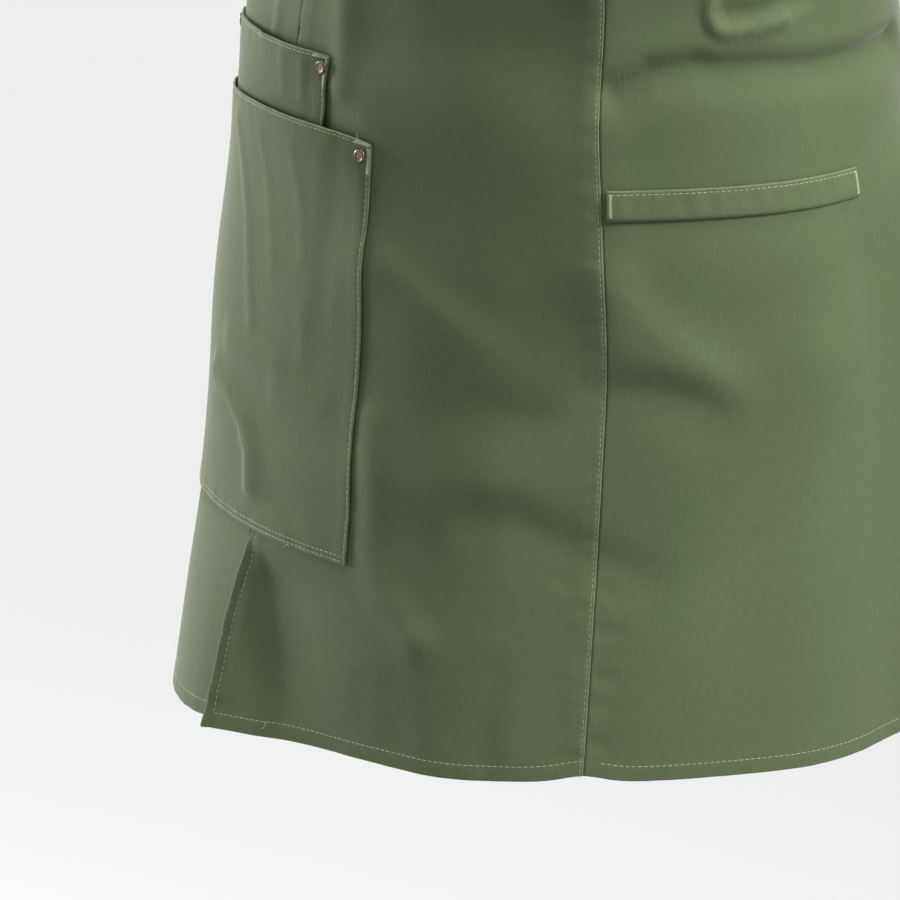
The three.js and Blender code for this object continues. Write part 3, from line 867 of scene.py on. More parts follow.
def finish_mesh(name: str, mesh: bpy.types.Mesh) -> bpy.types.Object:
    """Turn a closed mesh's faces outwards, shade it smooth and put it in the scene.

    Args:
        name: The object's name.
        mesh: Its mesh.

    Returns:
        The new object.
    """
    mesh.update()
    mesh.calc_loop_triangles()
    triangles = np.empty(len(mesh.loop_triangles) * 3, np.int32)
    mesh.loop_triangles.foreach_get("vertices", triangles)
    points = np.empty(len(mesh.vertices) * 3, np.float32)
    mesh.vertices.foreach_get("co", points)
    a, b, c = np.moveaxis(points.reshape(-1, 3)[triangles.reshape(-1, 3)].astype(float), 1, 0)
    if np.sum(a * np.cross(b, c)) < 0:
        mesh.flip_normals()
    mesh.polygons.foreach_set("use_smooth", np.ones(len(mesh.polygons), bool))
    mesh.update()
    piece = bpy.data.objects.new(name, mesh)
    bpy.context.scene.collection.objects.link(piece)
    return piece


def dress(piece: bpy.types.Object, material: bpy.types.Material, slot: str, *nodes: str) -> bpy.types.Object:
    """Give a piece its finish and its place in the frame.

    Args:
        piece: The piece.
        material: Its finish.
        slot: The record's slot that the finish belongs to. Not used.
        nodes: The CAD nodes that the piece stands for.

    Returns:
        The piece.
    """
    piece.data.materials.append(material)
    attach(piece, "root")
    if nodes:
        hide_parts(*nodes)
    LOG.info("%s: %d faces", piece.name, len(piece.data.polygons))
    return piece


@dataclass
class Stitching:
    """Sewn thread, gathered stitch by stitch into one mesh."""

    material: bpy.types.Material
    pitch: float = 3.1
    length: float = 2.45
    gauge: float = 0.34
    sides: int = 6
    tack_spacing: float = 0.45
    tack_slant: float = 0.35
    tack_size: float = 1.25
    tack_nudge: float = 0.1
    loose_size: float = 0.7
    # Each stitch is a bead whose ends go down into the cloth: its rings' places, swellings and seats
    rings: ClassVar[tuple[Triple, ...]] = (
        (0.0, 0.45, -0.55), (0.2, 1.0, 0.1), (0.8, 1.0, 0.1), (1.0, 0.45, -0.55),
    )
    starts: list[Array] = field(default_factory=list)
    ends: list[Array] = field(default_factory=list)
    outs: list[Array] = field(default_factory=list)
    sizes: list[Array] = field(default_factory=list)

    def run(self, points: Array, outs: Array, size: float = 1.0) -> None:
        """Sew a row of stitches.

        Args:
            points: Points along the row, in metres.
            outs: The direction out of the cloth at each.
            size: How thick the thread looks, next to the usual gauge.
        """
        reach = self._reach(points)
        count = max(1, int(reach[-1] / (self.pitch * MM)))
        middles = (np.arange(count) + 0.5) * reach[-1] / count
        half = self.length * MM / 2
        starts, ends = (self._at(points, reach, place) for place in (middles - half, middles + half))
        self._gather(starts, ends, self._at(outs, reach, middles), size)

    def tack(self, points: Array, outs: Array, width: float) -> None:
        """Sew a bar-tack: close stitches that zigzag across a short line.

        Args:
            points: Points along the line, in metres.
            outs: The direction out of the cloth at each.
            width: The bar's width.
        """
        reach = self._reach(points)
        places = np.arange(0.0, reach[-1], self.tack_spacing * MM)
        middles, out = self._at(points, reach, places), self._at(outs, reach, places)
        nudge = self.tack_nudge * MM
        ahead = unit(self._at(points, reach, places + nudge) - self._at(points, reach, places - nudge))
        slant = np.where(np.arange(len(places)) % 2 == 0, self.tack_slant, -self.tack_slant)[:, None]
        half = (np.cross(out, ahead) * width / 2 + slant * ahead) * MM
        self._gather(middles - half, middles + half, out, self.tack_size)

    def loose(self, points: Array, outs: Array) -> None:
        """Leave a thread end that follows points in metres, with a direction across it at each."""
        self._gather(points[:-1], points[1:], outs[:-1], self.loose_size)

    def _gather(self, starts: Array, ends: Array, outs: Array, size: float) -> None:
        """Keep stitches of one thickness.

        Args:
            starts: Where they start, in metres.
            ends: Where they end.
            outs: The direction out of the cloth at each.
            size: Their thickness, next to the usual gauge.
        """
        self.starts.append(starts)
        self.ends.append(ends)
        self.outs.append(outs)
        self.sizes.append(np.full(len(starts), size))

    @staticmethod
    def _reach(points: Array) -> Array:
        """The distance of each point along their row."""
        return np.concatenate([[0.0], np.cumsum(np.linalg.norm(np.diff(points, axis=0), axis=1))])

    @staticmethod
    def _at(values: Array, reach: Array, place: Array) -> Array:
        """Read points along a row by distance."""
        return np.stack([np.interp(place, reach, values[:, k]) for k in range(3)], axis=1)

    def build(self, name: str) -> bpy.types.Object:
        """Join the stitches gathered so far, and start afresh.

        Args:
            name: The piece's name.

        Returns:
            The new piece.
        """
        start, end, out = (np.concatenate(part) for part in (self.starts, self.ends, self.outs))
        along = end - start
        ahead = unit(along)
        cross = unit(np.cross(out, ahead))
        out = np.cross(ahead, cross)
        radius = (self.gauge * MM / 2 * np.concatenate(self.sizes))[:, None]
        turns = 2 * math.pi * np.arange(self.sides) / self.sides
        layers = []
        for share, swell, seat in self.rings:
            middle = start + along * share + out * (seat * radius)
            for turn in turns:
                layers.append(middle + (cross * math.cos(turn) + out * math.sin(turn)) * (swell * radius))
        points = np.stack(layers, axis=1).reshape(-1, 3)
        n, last = self.sides, len(self.rings) - 1
        quads = [
            (r * n + k, r * n + (k + 1) % n, (r + 1) * n + (k + 1) % n, (r + 1) * n + k)
            for r in range(last)
            for k in range(n)
        ]
        size = (last + 1) * n
        caps = [tuple(range(n))[::-1], tuple(range(last * n, size))]
        faces = [tuple(i * size + k for k in face) for i in range(len(start)) for face in quads + caps]
        mesh = bpy.data.meshes.new(name)
        mesh.from_pydata(points.tolist(), [], faces)
        self.starts, self.ends, self.outs, self.sizes = [], [], [], []
        return dress(finish_mesh(name, mesh), self.material, "thread")


@dataclass
class FormCloth(ABC):
    """A piece of cloth that lies on the worn form."""

    form: WornForm
    pattern: Pattern
    thickness: float = 1.1
    groove: float = 0.22
    groove_reach: ClassVar[float] = 0.8
    pucker_reach: ClassVar[float] = 10.0
    curl_reach: ClassVar[float] = 2.4
    rounding: ClassVar[float] = 0.38
    rounding_reach: ClassVar[float] = 0.9
    wear_and_highlight_reach: ClassVar[float] = 0.8
    thread_lift: ClassVar[Pair] = (0.2, 1.2)
    # The length, shift and share of each wave in the puckers
    pucker_waves: ClassVar[tuple[Triple, ...]] = (
        (1.9, 0.0, 1.0), (2.9, 1.3, 1.0), (1.27, 0.4, 0.6), (4.7, 0.0, 1.0),
    )
    hems: ClassVar[tuple[Hem, ...]] = ()

    @abstractmethod
    def lines(self) -> tuple[Array, Array]:
        """The places of the grid lines across and along."""

    @abstractmethod
    def place(self, across: Array, along: Array) -> tuple[Array, Array]:
        """The angle and height of places across and along the piece."""

    @abstractmethod
    def inset(self, edge: Edge, angle: Array, height: Array) -> Array:
        """The distance in from an edge."""

    def lift(self, angle: Array, height: Array) -> Array:
        """How far the cloth's back is out from the form."""
        return np.zeros_like(np.asarray(angle, float))

    def hem_on(self, edge: Edge) -> Hem:
        """The hem of an edge."""
        return next(hem for hem in self.hems if hem.edge is edge)

    def turned(self, hem: Hem, angle: Array, height: Array) -> Array:
        """The share of a hem's turned cloth that is at a place."""
        return 1.0 - smooth(self.inset(hem.edge, angle, height), hem.turn - hem.soft, hem.turn + hem.soft)

    def rows(self, hem: Hem, height: Array) -> list[Array]:
        """The distances of a hem's stitch rows at given heights."""
        return [np.full_like(np.asarray(height, float), row) for row in hem.rows]

    def relief(self, angle: Array, height: Array, through: Array) -> Array:
        """What the hems, stitches and puckers add to the cloth's faces.

        Args:
            angle: The angles.
            height: The heights.
            through: 0 on the back of the cloth and 1 on its face.

        Returns:
            The distance out at each place.
        """
        total = np.zeros_like(angle)
        for hem in self.hems:
            distance = self.inset(hem.edge, angle, height)
            upright = hem.edge in (Edge.NEAR, Edge.FAR)
            run = height if upright else np.radians(angle) * self.form.fold_radius
            turned = self.turned(hem, angle, height)
            total += turned * between(-hem.back, hem.face, through)
            for row in self.rows(hem, height):
                total -= through * self.groove * bell(distance - row, self.groove_reach)
            wave = sum(share * np.sin(run / length + shift) for length, shift, share in self.pucker_waves)
            total += 0.5 * hem.pucker * wave * bell(distance, self.pucker_reach)
            total += hem.curl * (1.0 - smooth(distance, 0.0, self.curl_reach))
            total += rounded(distance, self.rounding_reach, self.rounding * self.thickness, through)
        return total

    def surface(self, angle: Array, height: Array, through: Array) -> Array:
        """Points on or in the cloth, in metres."""
        out = self.lift(angle, height) + through * self.thickness + self.relief(angle, height, through)
        return self.form.point(angle, height, out)

    def wear_and_highlight(self, angle: Array, height: Array) -> Array:
        """How much paler the cloth is painted, from 0 to 1, along its folded edges: partly rubbing, partly a
        painted highlight.

        Args:
            angle: The angles.
            height: The heights.

        Returns:
            The paleness at each place.
        """
        total = np.zeros_like(angle)
        for hem in self.hems:
            distance = self.inset(hem.edge, angle, height)
            total = np.maximum(total, hem.wear_and_highlight * bell(distance, self.wear_and_highlight_reach))
        return total

    def kept(self, across: Array, along: Array) -> Array:
        """Which places are cloth."""
        return np.ones(len(across), bool)

    def shape(self, across: Array, along: Array, through: Array) -> tuple[Array, Array, Array]:
        """The points, cloth map and edge paleness for the piece's grid.

        Args:
            across: Places across the piece.
            along: Places along the piece.
            through: 0 on the back of the cloth and 1 on its face.

        Returns:
            The points in metres, the cloth map and the edge paleness of rubbing and painted highlight.
        """
        angle, height = self.place(across, along)
        grain = np.stack([np.radians(angle) * self.form.fold_radius, height], axis=1) * MM
        return self.surface(angle, height, through), grain, self.wear_and_highlight(angle, height)

    def build(self, name: str) -> bpy.types.Object:
        """Make the piece's mesh."""
        return cloth_shell(name, *self.lines(), self.shape, self.kept)

    def face(self, angle: Array, height: Array) -> tuple[Array, Array]:
        """Points on the cloth's face, in metres, and the direction out of it at each."""
        angle, height = np.asarray(angle, float), np.asarray(height, float)
        return self.surface(angle, height, np.ones_like(angle)), self.form.outward(angle, height)

    def sew(self, stitching: Stitching, angle: Array, height: Array, size: float = 1.0) -> None:
        """Sew a row along places on the cloth's face."""
        stitching.run(*self.face(angle, height), size)

    def tack(self, stitching: Stitching, angle: Array, height: Array, width: float) -> None:
        """Sew a bar-tack along places on the cloth's face."""
        stitching.tack(*self.face(angle, height), width)

    def thread_end(self, stitching: Stitching, *places: Pair) -> None:
        """Leave a loose thread end along places on the cloth's face.

        Args:
            stitching: Where the thread is gathered.
            places: Angles and heights along it.
        """
        points, outs = self.face(*np.asarray(places, float).T)
        lift = np.linspace(*self.thread_lift, len(points))[:, None] * MM
        stitching.loose(points + outs * lift, outs)


@dataclass
class CentrePanel(FormCloth):
    """The middle panel, from the bib's top edge to the hem, lapped over the side panels."""

    spread: Pair = (205.0, 690.0)
    slit_flare: float = 20.0
    slit_flare_reach: Pair = (28.0, 80.0)
    slit_curl: float = 1.5
    slit_curl_start: float = 0.12
    slit_curl_reach: float = 5.0
    slit_hollow: float = 7.5
    slit_hollow_start: float = 0.25
    slit_hollow_fade: float = 0.6
    slit_hollow_in: Pair = (9.0, 46.0)
    slit_hollow_widths: Pair = (11.0, 42.0)
    slit_row: Pair = (4.8, 3.6)
    seam_thread: float = 0.7
    row_gap: float = 2.0
    bib_row_gap: float = 0.8
    step: float = 2.6
    hems: ClassVar[tuple[Hem, ...]] = (
        Hem(Edge.TOP, 22.0, face=0.3, back=0.7, rows=(2.5, 20.0)),
        Hem(Edge.BOTTOM, 8.0, face=0.25, back=0.7, rows=(7.2,)),
        Hem(Edge.NEAR, 11.0, face=0.4, rows=(1.7,), pucker=0.3, soft=2.2, wear_and_highlight=0.25),
        Hem(Edge.FAR, 11.0, face=0.25, rows=(1.7,), pucker=0.3, soft=2.2, wear_and_highlight=0.5),
    )

    def lines(self) -> tuple[Array, Array]:
        """The places of the grid lines across and along."""
        return grid_lines(self.spread[0], self.step), grid_lines(self.spread[1], self.step)

    def place(self, across: Array, along: Array) -> tuple[Array, Array]:
        """The angle and height of places across and along the piece.

        Args:
            across: Places across the piece.
            along: Places along the piece.

        Returns:
            The angle and height of each place.
        """
        level = between(self.pattern.bib_top, self.pattern.hem, along)
        angle = between(self.pattern.right_seam.at(level), self.pattern.left_seam.at(level), across)
        return angle, between(self.pattern.bib_top, self.pattern.front_hem(angle), along)

    def inset(self, edge: Edge, angle: Array, height: Array) -> Array:
        """The distance in from an edge.

        Args:
            edge: Which edge it is.
            angle: The angles.
            height: The heights.

        Returns:
            The distance at each place.
        """
        if edge is Edge.TOP:
            return self.pattern.bib_top - height
        if edge is Edge.BOTTOM:
            return height - self.pattern.front_hem(angle)
        level = np.maximum(height, self.pattern.hem)
        if edge is Edge.NEAR:
            return self.form.span(angle - self.pattern.right_seam.at(level), angle, height)
        return self.form.span(self.pattern.left_seam.at(level) - angle, angle, height)

    def lift(self, angle: Array, height: Array) -> Array:
        """How far the cloth's back is out from the form: the slit's edge stands off beside a hollow.

        Args:
            angle: The angles.
            height: The heights.

        Returns:
            The distance out at each place.
        """
        distance = self.inset(Edge.NEAR, angle, height)
        down = self.slit_share(height)
        near = np.clip(1.0 - distance / between(*self.slit_flare_reach, down), 0.0, 1.0)
        past = distance - between(*self.slit_hollow_in, down)
        hollow = bell(past, np.where(past < 0.0, *self.slit_hollow_widths))
        fade = 1.0 - self.slit_hollow_fade * smooth(down, 0.5, 1.0)
        grown = smooth(down, 0.0, self.slit_hollow_start) * fade
        curl = smooth(down, 0.0, self.slit_curl_start) * (1.0 - smooth(distance, 0.0, self.slit_curl_reach))
        return self.slit_flare * down * near**2 - self.slit_hollow * grown * hollow + self.slit_curl * curl

    def slit_share(self, height: Array) -> Array:
        """How far down the slit a height is, from 0 at its top to 1 at the hem."""
        top, hem = self.pattern.slit_top, self.pattern.hem
        return np.clip((top - height) / (top - hem), 0.0, 1.0)

    def rows(self, hem: Hem, height: Array) -> list[Array]:
        """The distances of a hem's stitch rows: wider in along the slit.

        Args:
            hem: The hem.
            height: The heights.

        Returns:
            The distances for each row.
        """
        if hem.edge is not Edge.NEAR:
            return super().rows(hem, height)
        slit = between(*self.slit_row, self.slit_share(height))
        return [np.where(height < self.pattern.slit_top, slit, hem.rows[0])]

    def stitch(self, stitching: Stitching) -> None:
        """Sew the panel's seams, slit, hem and top.

        Args:
            stitching: Where the stitches are gathered.
        """
        pattern, form = self.pattern, self.form
        seam_row, hem_row = self.hem_on(Edge.FAR).rows[0], self.hem_on(Edge.BOTTOM).rows[0]
        highest = pattern.bib_top - self.row_gap
        rise = np.linspace(pattern.hem + 1.0, highest, 500)
        left = pattern.left_seam.at(rise)
        self.sew(stitching, left - form.degrees(seam_row, left, rise), rise, self.seam_thread)
        upper = np.linspace(pattern.slit_top, highest, 400)
        right = pattern.right_seam.at(upper)
        self.sew(stitching, right + form.degrees(seam_row, right, upper), upper, self.seam_thread)
        lower = np.linspace(pattern.hem + hem_row, pattern.slit_top - 1.0, 90)
        slit = pattern.right_seam.at(lower)
        slit = slit + form.degrees(between(*self.slit_row, self.slit_share(lower)), slit, lower)
        self.sew(stitching, slit, lower)
        span = np.linspace(0.0, 1.0, 200)
        angle = between(slit[0], pattern.left_seam.at(pattern.hem), span)
        self.sew(stitching, angle, pattern.front_hem(angle) + hem_row)
        for depth in self.hem_on(Edge.TOP).rows:
            level = pattern.bib_top - depth
            first = pattern.right_seam.at(level) + self.bib_row_gap
            bib = between(first, pattern.left_seam.at(level) - self.bib_row_gap, span)
            self.sew(stitching, bib, np.full_like(bib, level))


@dataclass
class SidePanel(FormCloth):
    """A panel round one hip, its seam edge tucked under the centre panel."""

    side: Side = Side.LEFT
    spread: Pair = (245.0, 540.0)
    seam_lap: float = 8.0
    seam_step: float = 5.0
    seam_rise: float = 0.7
    tuck: float = 1.9
    slit_lap: float = 14.0
    slit_sink: float = 3.0
    slit_sink_reach: float = 45.0
    step: float = 2.8
    slot: Four | None = None
    row_span: Pair = (0.02, 0.97)
    back_row_gaps: Pair = (8.0, 4.0)
    hem_row_gaps: Pair = (0.5, 3.0)
    # Places of the grid lines under the centre panel
    lap_lines: ClassVar[tuple[float, ...]] = (
        -1.0, -0.8, -0.6, -0.45, -0.38, -0.32, -0.26, -0.2, -0.14, -0.08,
    )
    hems: ClassVar[tuple[Hem, ...]] = (
        Hem(Edge.TOP, 9.0, face=0.25, back=0.7, rows=(7.2,)),
        Hem(Edge.BOTTOM, 8.0, face=0.25, back=0.7, rows=(7.2,)),
        Hem(Edge.FAR, 9.0, face=0.25, back=0.7, rows=(7.2,)),
    )

    def lines(self) -> tuple[Array, Array]:
        """The places of the grid lines; those across are below 0 under the centre panel."""
        free = grid_lines(self.spread[0], self.step, near=False)
        return np.concatenate([self.lap_lines, free]), grid_lines(self.spread[1], self.step)

    def place(self, across: Array, along: Array) -> tuple[Array, Array]:
        """The angle and height of places across and along the piece.

        Args:
            across: Places across the piece.
            along: Places along the piece.

        Returns:
            The angle and height of each place.
        """
        pattern, form = self.pattern, self.form
        share = np.maximum(across, 0.0)
        top = pattern.armhole(share)
        height = between(top, pattern.hem, along)
        seam = pattern.seam(self.side, height)
        slit = pattern.slit_share(height) if self.side is Side.RIGHT else 0.0
        lap = between(self.seam_lap, self.slit_lap, slit)
        first = seam + form.degrees(self.seam_step, seam, height)
        under = seam + form.degrees(between(self.seam_step, -lap, -across), seam, height)
        angle = np.where(across < 0.0, under, between(first, pattern.back_edge.at(height), share))
        height = height + (pattern.side_hem(self.side, angle) - pattern.hem) * along
        return self.side.value * angle, height

    def inset(self, edge: Edge, angle: Array, height: Array) -> Array:
        """The distance in from an edge.

        Args:
            edge: Which edge it is.
            angle: The angles.
            height: The heights.

        Returns:
            The distance at each place.
        """
        turn = np.abs(angle)
        if edge is Edge.BOTTOM:
            return height - self.pattern.side_hem(self.side, turn)
        level = np.maximum(height, self.pattern.hem)
        seam = self.pattern.seam(self.side, level)
        back = self.pattern.back_edge.at(level)
        if edge is Edge.FAR:
            return self.form.span(back - turn, turn, height)
        if edge is Edge.NEAR:
            return self.form.span(turn - seam, turn, height)
        share = np.clip((turn - seam) / (back - seam), 0.0, 1.0)
        return (self.pattern.armhole(share) - height) / np.hypot(1.0, self.pattern.armhole_slope(share))

    def lift(self, angle: Array, height: Array) -> Array:
        """How far the cloth's back is out from the form: the seam edge goes under the centre panel.

        Args:
            angle: The angles.
            height: The heights.

        Returns:
            The distance out at each place.
        """
        near = self.inset(Edge.NEAR, angle, height)
        tuck = self.tuck * (1.0 - smooth(near, -1.0, self.seam_rise))
        if self.side is Side.LEFT:
            return -tuck
        fade = 1.0 - smooth(near, self.seam_step, self.slit_sink_reach)
        return -tuck - self.slit_sink * self.pattern.slit_share(height) * fade

    def kept(self, across: Array, along: Array) -> Array:
        """Which places are cloth: all but the slot behind the welt.

        Args:
            across: Places across the piece.
            along: Places along the piece.

        Returns:
            Whether each place is cloth.
        """
        if self.slot is None:
            return super().kept(across, along)
        angle, height = self.place(across, along)
        front, back, top, bottom = self.slot
        return ~((angle > front) & (angle < back) & (height < top) & (height > bottom))

    def stitch(self, stitching: Stitching) -> None:
        """Sew the panel's armhole, back edge and hem.

        Args:
            stitching: Where the stitches are gathered.
        """
        pattern, form, sign = self.pattern, self.form, self.side.value
        top_row, back_row, hem_row = (self.hem_on(edge).rows[0] for edge in (Edge.TOP, Edge.FAR, Edge.BOTTOM))
        share = np.linspace(*self.row_span, 160)
        top = pattern.armhole(share)
        angle = between(pattern.seam(self.side, top), pattern.back_edge.at(top), share)
        self.sew(stitching, sign * angle, top - top_row * np.hypot(1.0, pattern.armhole_slope(share)))
        low, high = self.back_row_gaps
        rise = np.linspace(pattern.hem + low, pattern.armhole_foot - high, 250)
        back = pattern.back_edge.at(rise)
        self.sew(stitching, sign * (back - form.degrees(back_row, back, rise)), rise)
        near, far = self.hem_row_gaps
        first = pattern.seam(self.side, pattern.hem) + near
        hem = between(first, pattern.back_edge.at(pattern.hem) - far, share)
        self.sew(stitching, sign * hem, pattern.side_hem(self.side, hem) + hem_row)


@dataclass
class PatchPocket(FormCloth):
    """A patch pocket with a turned mouth, sewn on three sides."""

    front: float = -21.1
    front_foot: float = -23.9
    back: float = -69.0
    top: float = -490.2
    bow: float = 4.0
    bow_lean: float = 0.7
    bottom: float = -622.0
    bottom_bow: float = 0.0
    gape: float = 7.0
    gape_depth: float = 26.0
    gape_lean: float = 0.5
    seat: float = 1.45
    step: float = 2.4
    under: "PatchPocket | None" = None
    over_gap: float = 0.35
    over_front: Pair = (-6.0, -0.4)
    over_back: Pair = (0.3, 4.0)
    over_below: Pair = (-10.0, 70.0)
    row_gap: float = 0.7
    side_row_gaps: Pair = (1.5, 2.0)
    tack_across: Pair = (1.3, 9.0)
    tack_down: Pair = (2.0, 15.0)
    tack_inset: float = 1.5
    tack_width: float = 2.2
    hems: ClassVar[tuple[Hem, ...]] = (
        Hem(Edge.TOP, 18.0, face=0.15, rows=(1.9,), pucker=0.15, soft=1.5, wear_and_highlight=0.55),
        Hem(Edge.BOTTOM, 8.0, face=0.1, rows=(1.4, 3.8), pucker=0.2, soft=2.5),
        Hem(Edge.NEAR, 8.0, face=0.2, rows=(1.9,), soft=2.5, curl=0.2),
        Hem(Edge.FAR, 8.0, face=0.2, rows=(1.9,), soft=2.5, curl=0.2),
    )

    def lines(self) -> tuple[Array, Array]:
        """The places of the grid lines across and along.

        Returns:
            The places across and the places along.
        """
        middle = (self.front + self.back) / 2
        width = math.radians(self.front - self.back) * float(self.form.radius(middle, self.bottom))
        return grid_lines(width, self.step), grid_lines(self.top - self.bottom, self.step)

    def front_at(self, height: Array) -> Array:
        """The angle of the front edge, which slants a little."""
        return between(self.front, self.front_foot, (self.top - height) / (self.top - self.bottom))

    def share(self, angle: Array) -> Array:
        """How far across the pocket an angle is, from its front edge."""
        return np.clip((angle - self.front) / (self.back - self.front), 0.0, 1.0)

    def mouth(self, angle: Array) -> Array:
        """The height of the top edge, which bows up over the hip."""
        return self.top + self.bow * np.sin(math.pi * self.share(angle) ** self.bow_lean)

    def foot(self, angle: Array) -> Array:
        """The height of the bottom edge."""
        return self.bottom + self.bottom_bow * np.sin(math.pi * self.share(angle))

    def place(self, across: Array, along: Array) -> tuple[Array, Array]:
        """The angle and height of places across and along the piece.

        Args:
            across: Places across the piece.
            along: Places along the piece.

        Returns:
            The angle and height of each place.
        """
        level = between(self.top, self.bottom, along)
        angle = between(self.front_at(level), self.back, across)
        return angle, between(self.mouth(angle), self.foot(angle), along)

    def inset(self, edge: Edge, angle: Array, height: Array) -> Array:
        """The distance in from an edge.

        Args:
            edge: Which edge it is.
            angle: The angles.
            height: The heights.

        Returns:
            The distance at each place.
        """
        if edge is Edge.TOP:
            return self.mouth(angle) - height
        if edge is Edge.BOTTOM:
            return height - self.foot(angle)
        past = self.front_at(height) - angle if edge is Edge.NEAR else angle - self.back
        return self.form.span(past, angle, height)

    def gaping(self, angle: Array, height: Array) -> Array:
        """How far the cloth stands off below the mouth."""
        open_share = np.sin(math.pi * self.share(angle) ** self.gape_lean) ** 2
        return self.gape * open_share * bell(self.mouth(angle) - height, self.gape_depth)

    def lift(self, angle: Array, height: Array) -> Array:
        """How far the cloth's back is out from the form, over any pocket behind it.

        Args:
            angle: The angles.
            height: The heights.

        Returns:
            The distance out at each place.
        """
        out = self.seat + self.gaping(angle, height)
        if self.under is None:
            return out
        behind = self.under
        front = smooth(behind.front_at(height) - angle, *self.over_front)
        back = 1.0 - smooth(behind.back - angle, *self.over_back)
        above = 1.0 - smooth(behind.bottom - height, *self.over_below)
        return out + (self.thickness + self.over_gap) * front * back * above + behind.gaping(angle, height)

    def stitch(self, stitching: Stitching) -> None:
        """Sew the pocket's mouth and sides, and tack its top corners.

        Args:
            stitching: Where the stitches are gathered.
        """
        form = self.form
        span = np.linspace(0.0, 1.0, 160)
        inner = between(self.front - self.row_gap, self.back + self.row_gap, span)
        self.sew(stitching, inner, self.mouth(inner) - self.hem_on(Edge.TOP).rows[0])
        lower = between(self.front_foot - self.row_gap, self.back + self.row_gap, span)
        for row in self.hem_on(Edge.BOTTOM).rows:
            self.sew(stitching, lower, self.foot(lower) + row)
        low, high = self.side_row_gaps
        rise = np.linspace(self.bottom + low, self.top - high, 140)
        down = np.linspace(self.top - self.tack_down[0], self.top - self.tack_down[1], 30)
        side_row = self.hem_on(Edge.NEAR).rows[0]
        for turn, sign in ((self.front_at(rise), -1.0), (np.full_like(rise, self.back), 1.0)):
            self.sew(stitching, turn + sign * form.degrees(side_row, turn, rise), rise)
            edge = float(turn[-1])
            first, last, inset = (
                sign * form.degrees(reach, edge, self.top) for reach in (*self.tack_across, self.tack_inset)
            )
            along = np.linspace(edge + first, edge + last, 30)
            self.tack(stitching, along, self.mouth(along) - self.tack_inset, self.tack_width)
            self.tack(stitching, np.interp(down, rise, turn) + inset, down, self.tack_width)


@dataclass
class PocketWelt(FormCloth):
    """The single welt of the pocket on the wearer's left: a folded strip, open along its top."""

    front: float = 29.9
    back: float = 80.0
    top: float = -542.8
    bottom: float = -558.2
    seat: float = 1.15
    gape: float = 1.1
    roll: float = 1.2
    roll_lean: float = 0.45
    spread: float = 140.0
    step: float = 2.4
    row_gap: float = 0.6
    tack_gap: float = 0.75
    tack_width: float = 1.9
    dents: tuple[Triple, ...] = (
        (34.2, 0.35, 0.9), (37.0, 0.5, 1.1), (40.7, 0.4, 0.7), (42.9, 0.9, 1.0), (47.3, 0.5, 1.2),
        (51.0, 0.3, 0.8), (55.0, 0.6, 1.3), (63.0, 0.6, 1.0), (71.0, 0.4, 1.2),
    )
    hems: ClassVar[tuple[Hem, ...]] = (
        Hem(Edge.TOP, 15.0, face=0.2, rows=(2.0,), pucker=0.2, wear_and_highlight=0.5),
        Hem(Edge.BOTTOM, 1.0, face=0.0, pucker=0.0, wear_and_highlight=0.0),
        Hem(Edge.NEAR, 1.0, face=0.0, pucker=0.0, wear_and_highlight=0.0),
        Hem(Edge.FAR, 1.0, face=0.0, pucker=0.0, wear_and_highlight=0.0),
    )

    def lines(self) -> tuple[Array, Array]:
        """The places of the grid lines across and along."""
        return grid_lines(self.spread, self.step), np.linspace(0.0, 1.0, 19) ** 1.15

    def place(self, across: Array, along: Array) -> tuple[Array, Array]:
        """The angle and height of places across and along the piece."""
        return between(self.front, self.back, across), between(self.top, self.bottom, along)

    def inset(self, edge: Edge, angle: Array, height: Array) -> Array:
        """The distance in from an edge.

        Args:
            edge: Which edge it is.
            angle: The angles.
            height: The heights.

        Returns:
            The distance at each place.
        """
        if edge is Edge.TOP:
            return self.top - height
        if edge is Edge.BOTTOM:
            return height - self.bottom
        past = angle - self.front if edge is Edge.NEAR else self.back - angle
        return self.form.span(past, angle, height)

    def lift(self, angle: Array, height: Array) -> Array:
        """How far the cloth's back is out: the folded strip is puffed, and its top edge stands off.

        Args:
            angle: The angles.
            height: The heights.

        Returns:
            The distance out at each place.
        """
        share = np.clip((angle - self.front) / (self.back - self.front), 0.0, 1.0)
        climb = np.clip((height - self.bottom) / (self.top - self.bottom), 0.0, 1.0)
        puff = self.roll * np.sin(math.pi * climb**self.roll_lean)
        dents = sum(depth * bell(angle - middle, width) for middle, depth, width in self.dents)
        stands = self.gape * np.sin(math.pi * share**0.5) ** 0.5
        return self.seat + puff + stands * climb - dents * np.sin(math.pi * climb)

    def stitch(self, stitching: Stitching) -> None:
        """Sew the welt's top edge and tack its ends.

        Args:
            stitching: Where the stitches are gathered.
        """
        row = self.hem_on(Edge.TOP).rows[0]
        span = np.linspace(self.front + self.row_gap, self.back - self.row_gap, 160)
        self.sew(stitching, span, np.full_like(span, self.top - row))
        down = np.linspace(self.top - row, self.bottom + row, 30)
        for edge in (self.front + self.tack_gap, self.back - self.tack_gap):
            self.tack(stitching, np.full_like(down, edge), down, self.tack_width)


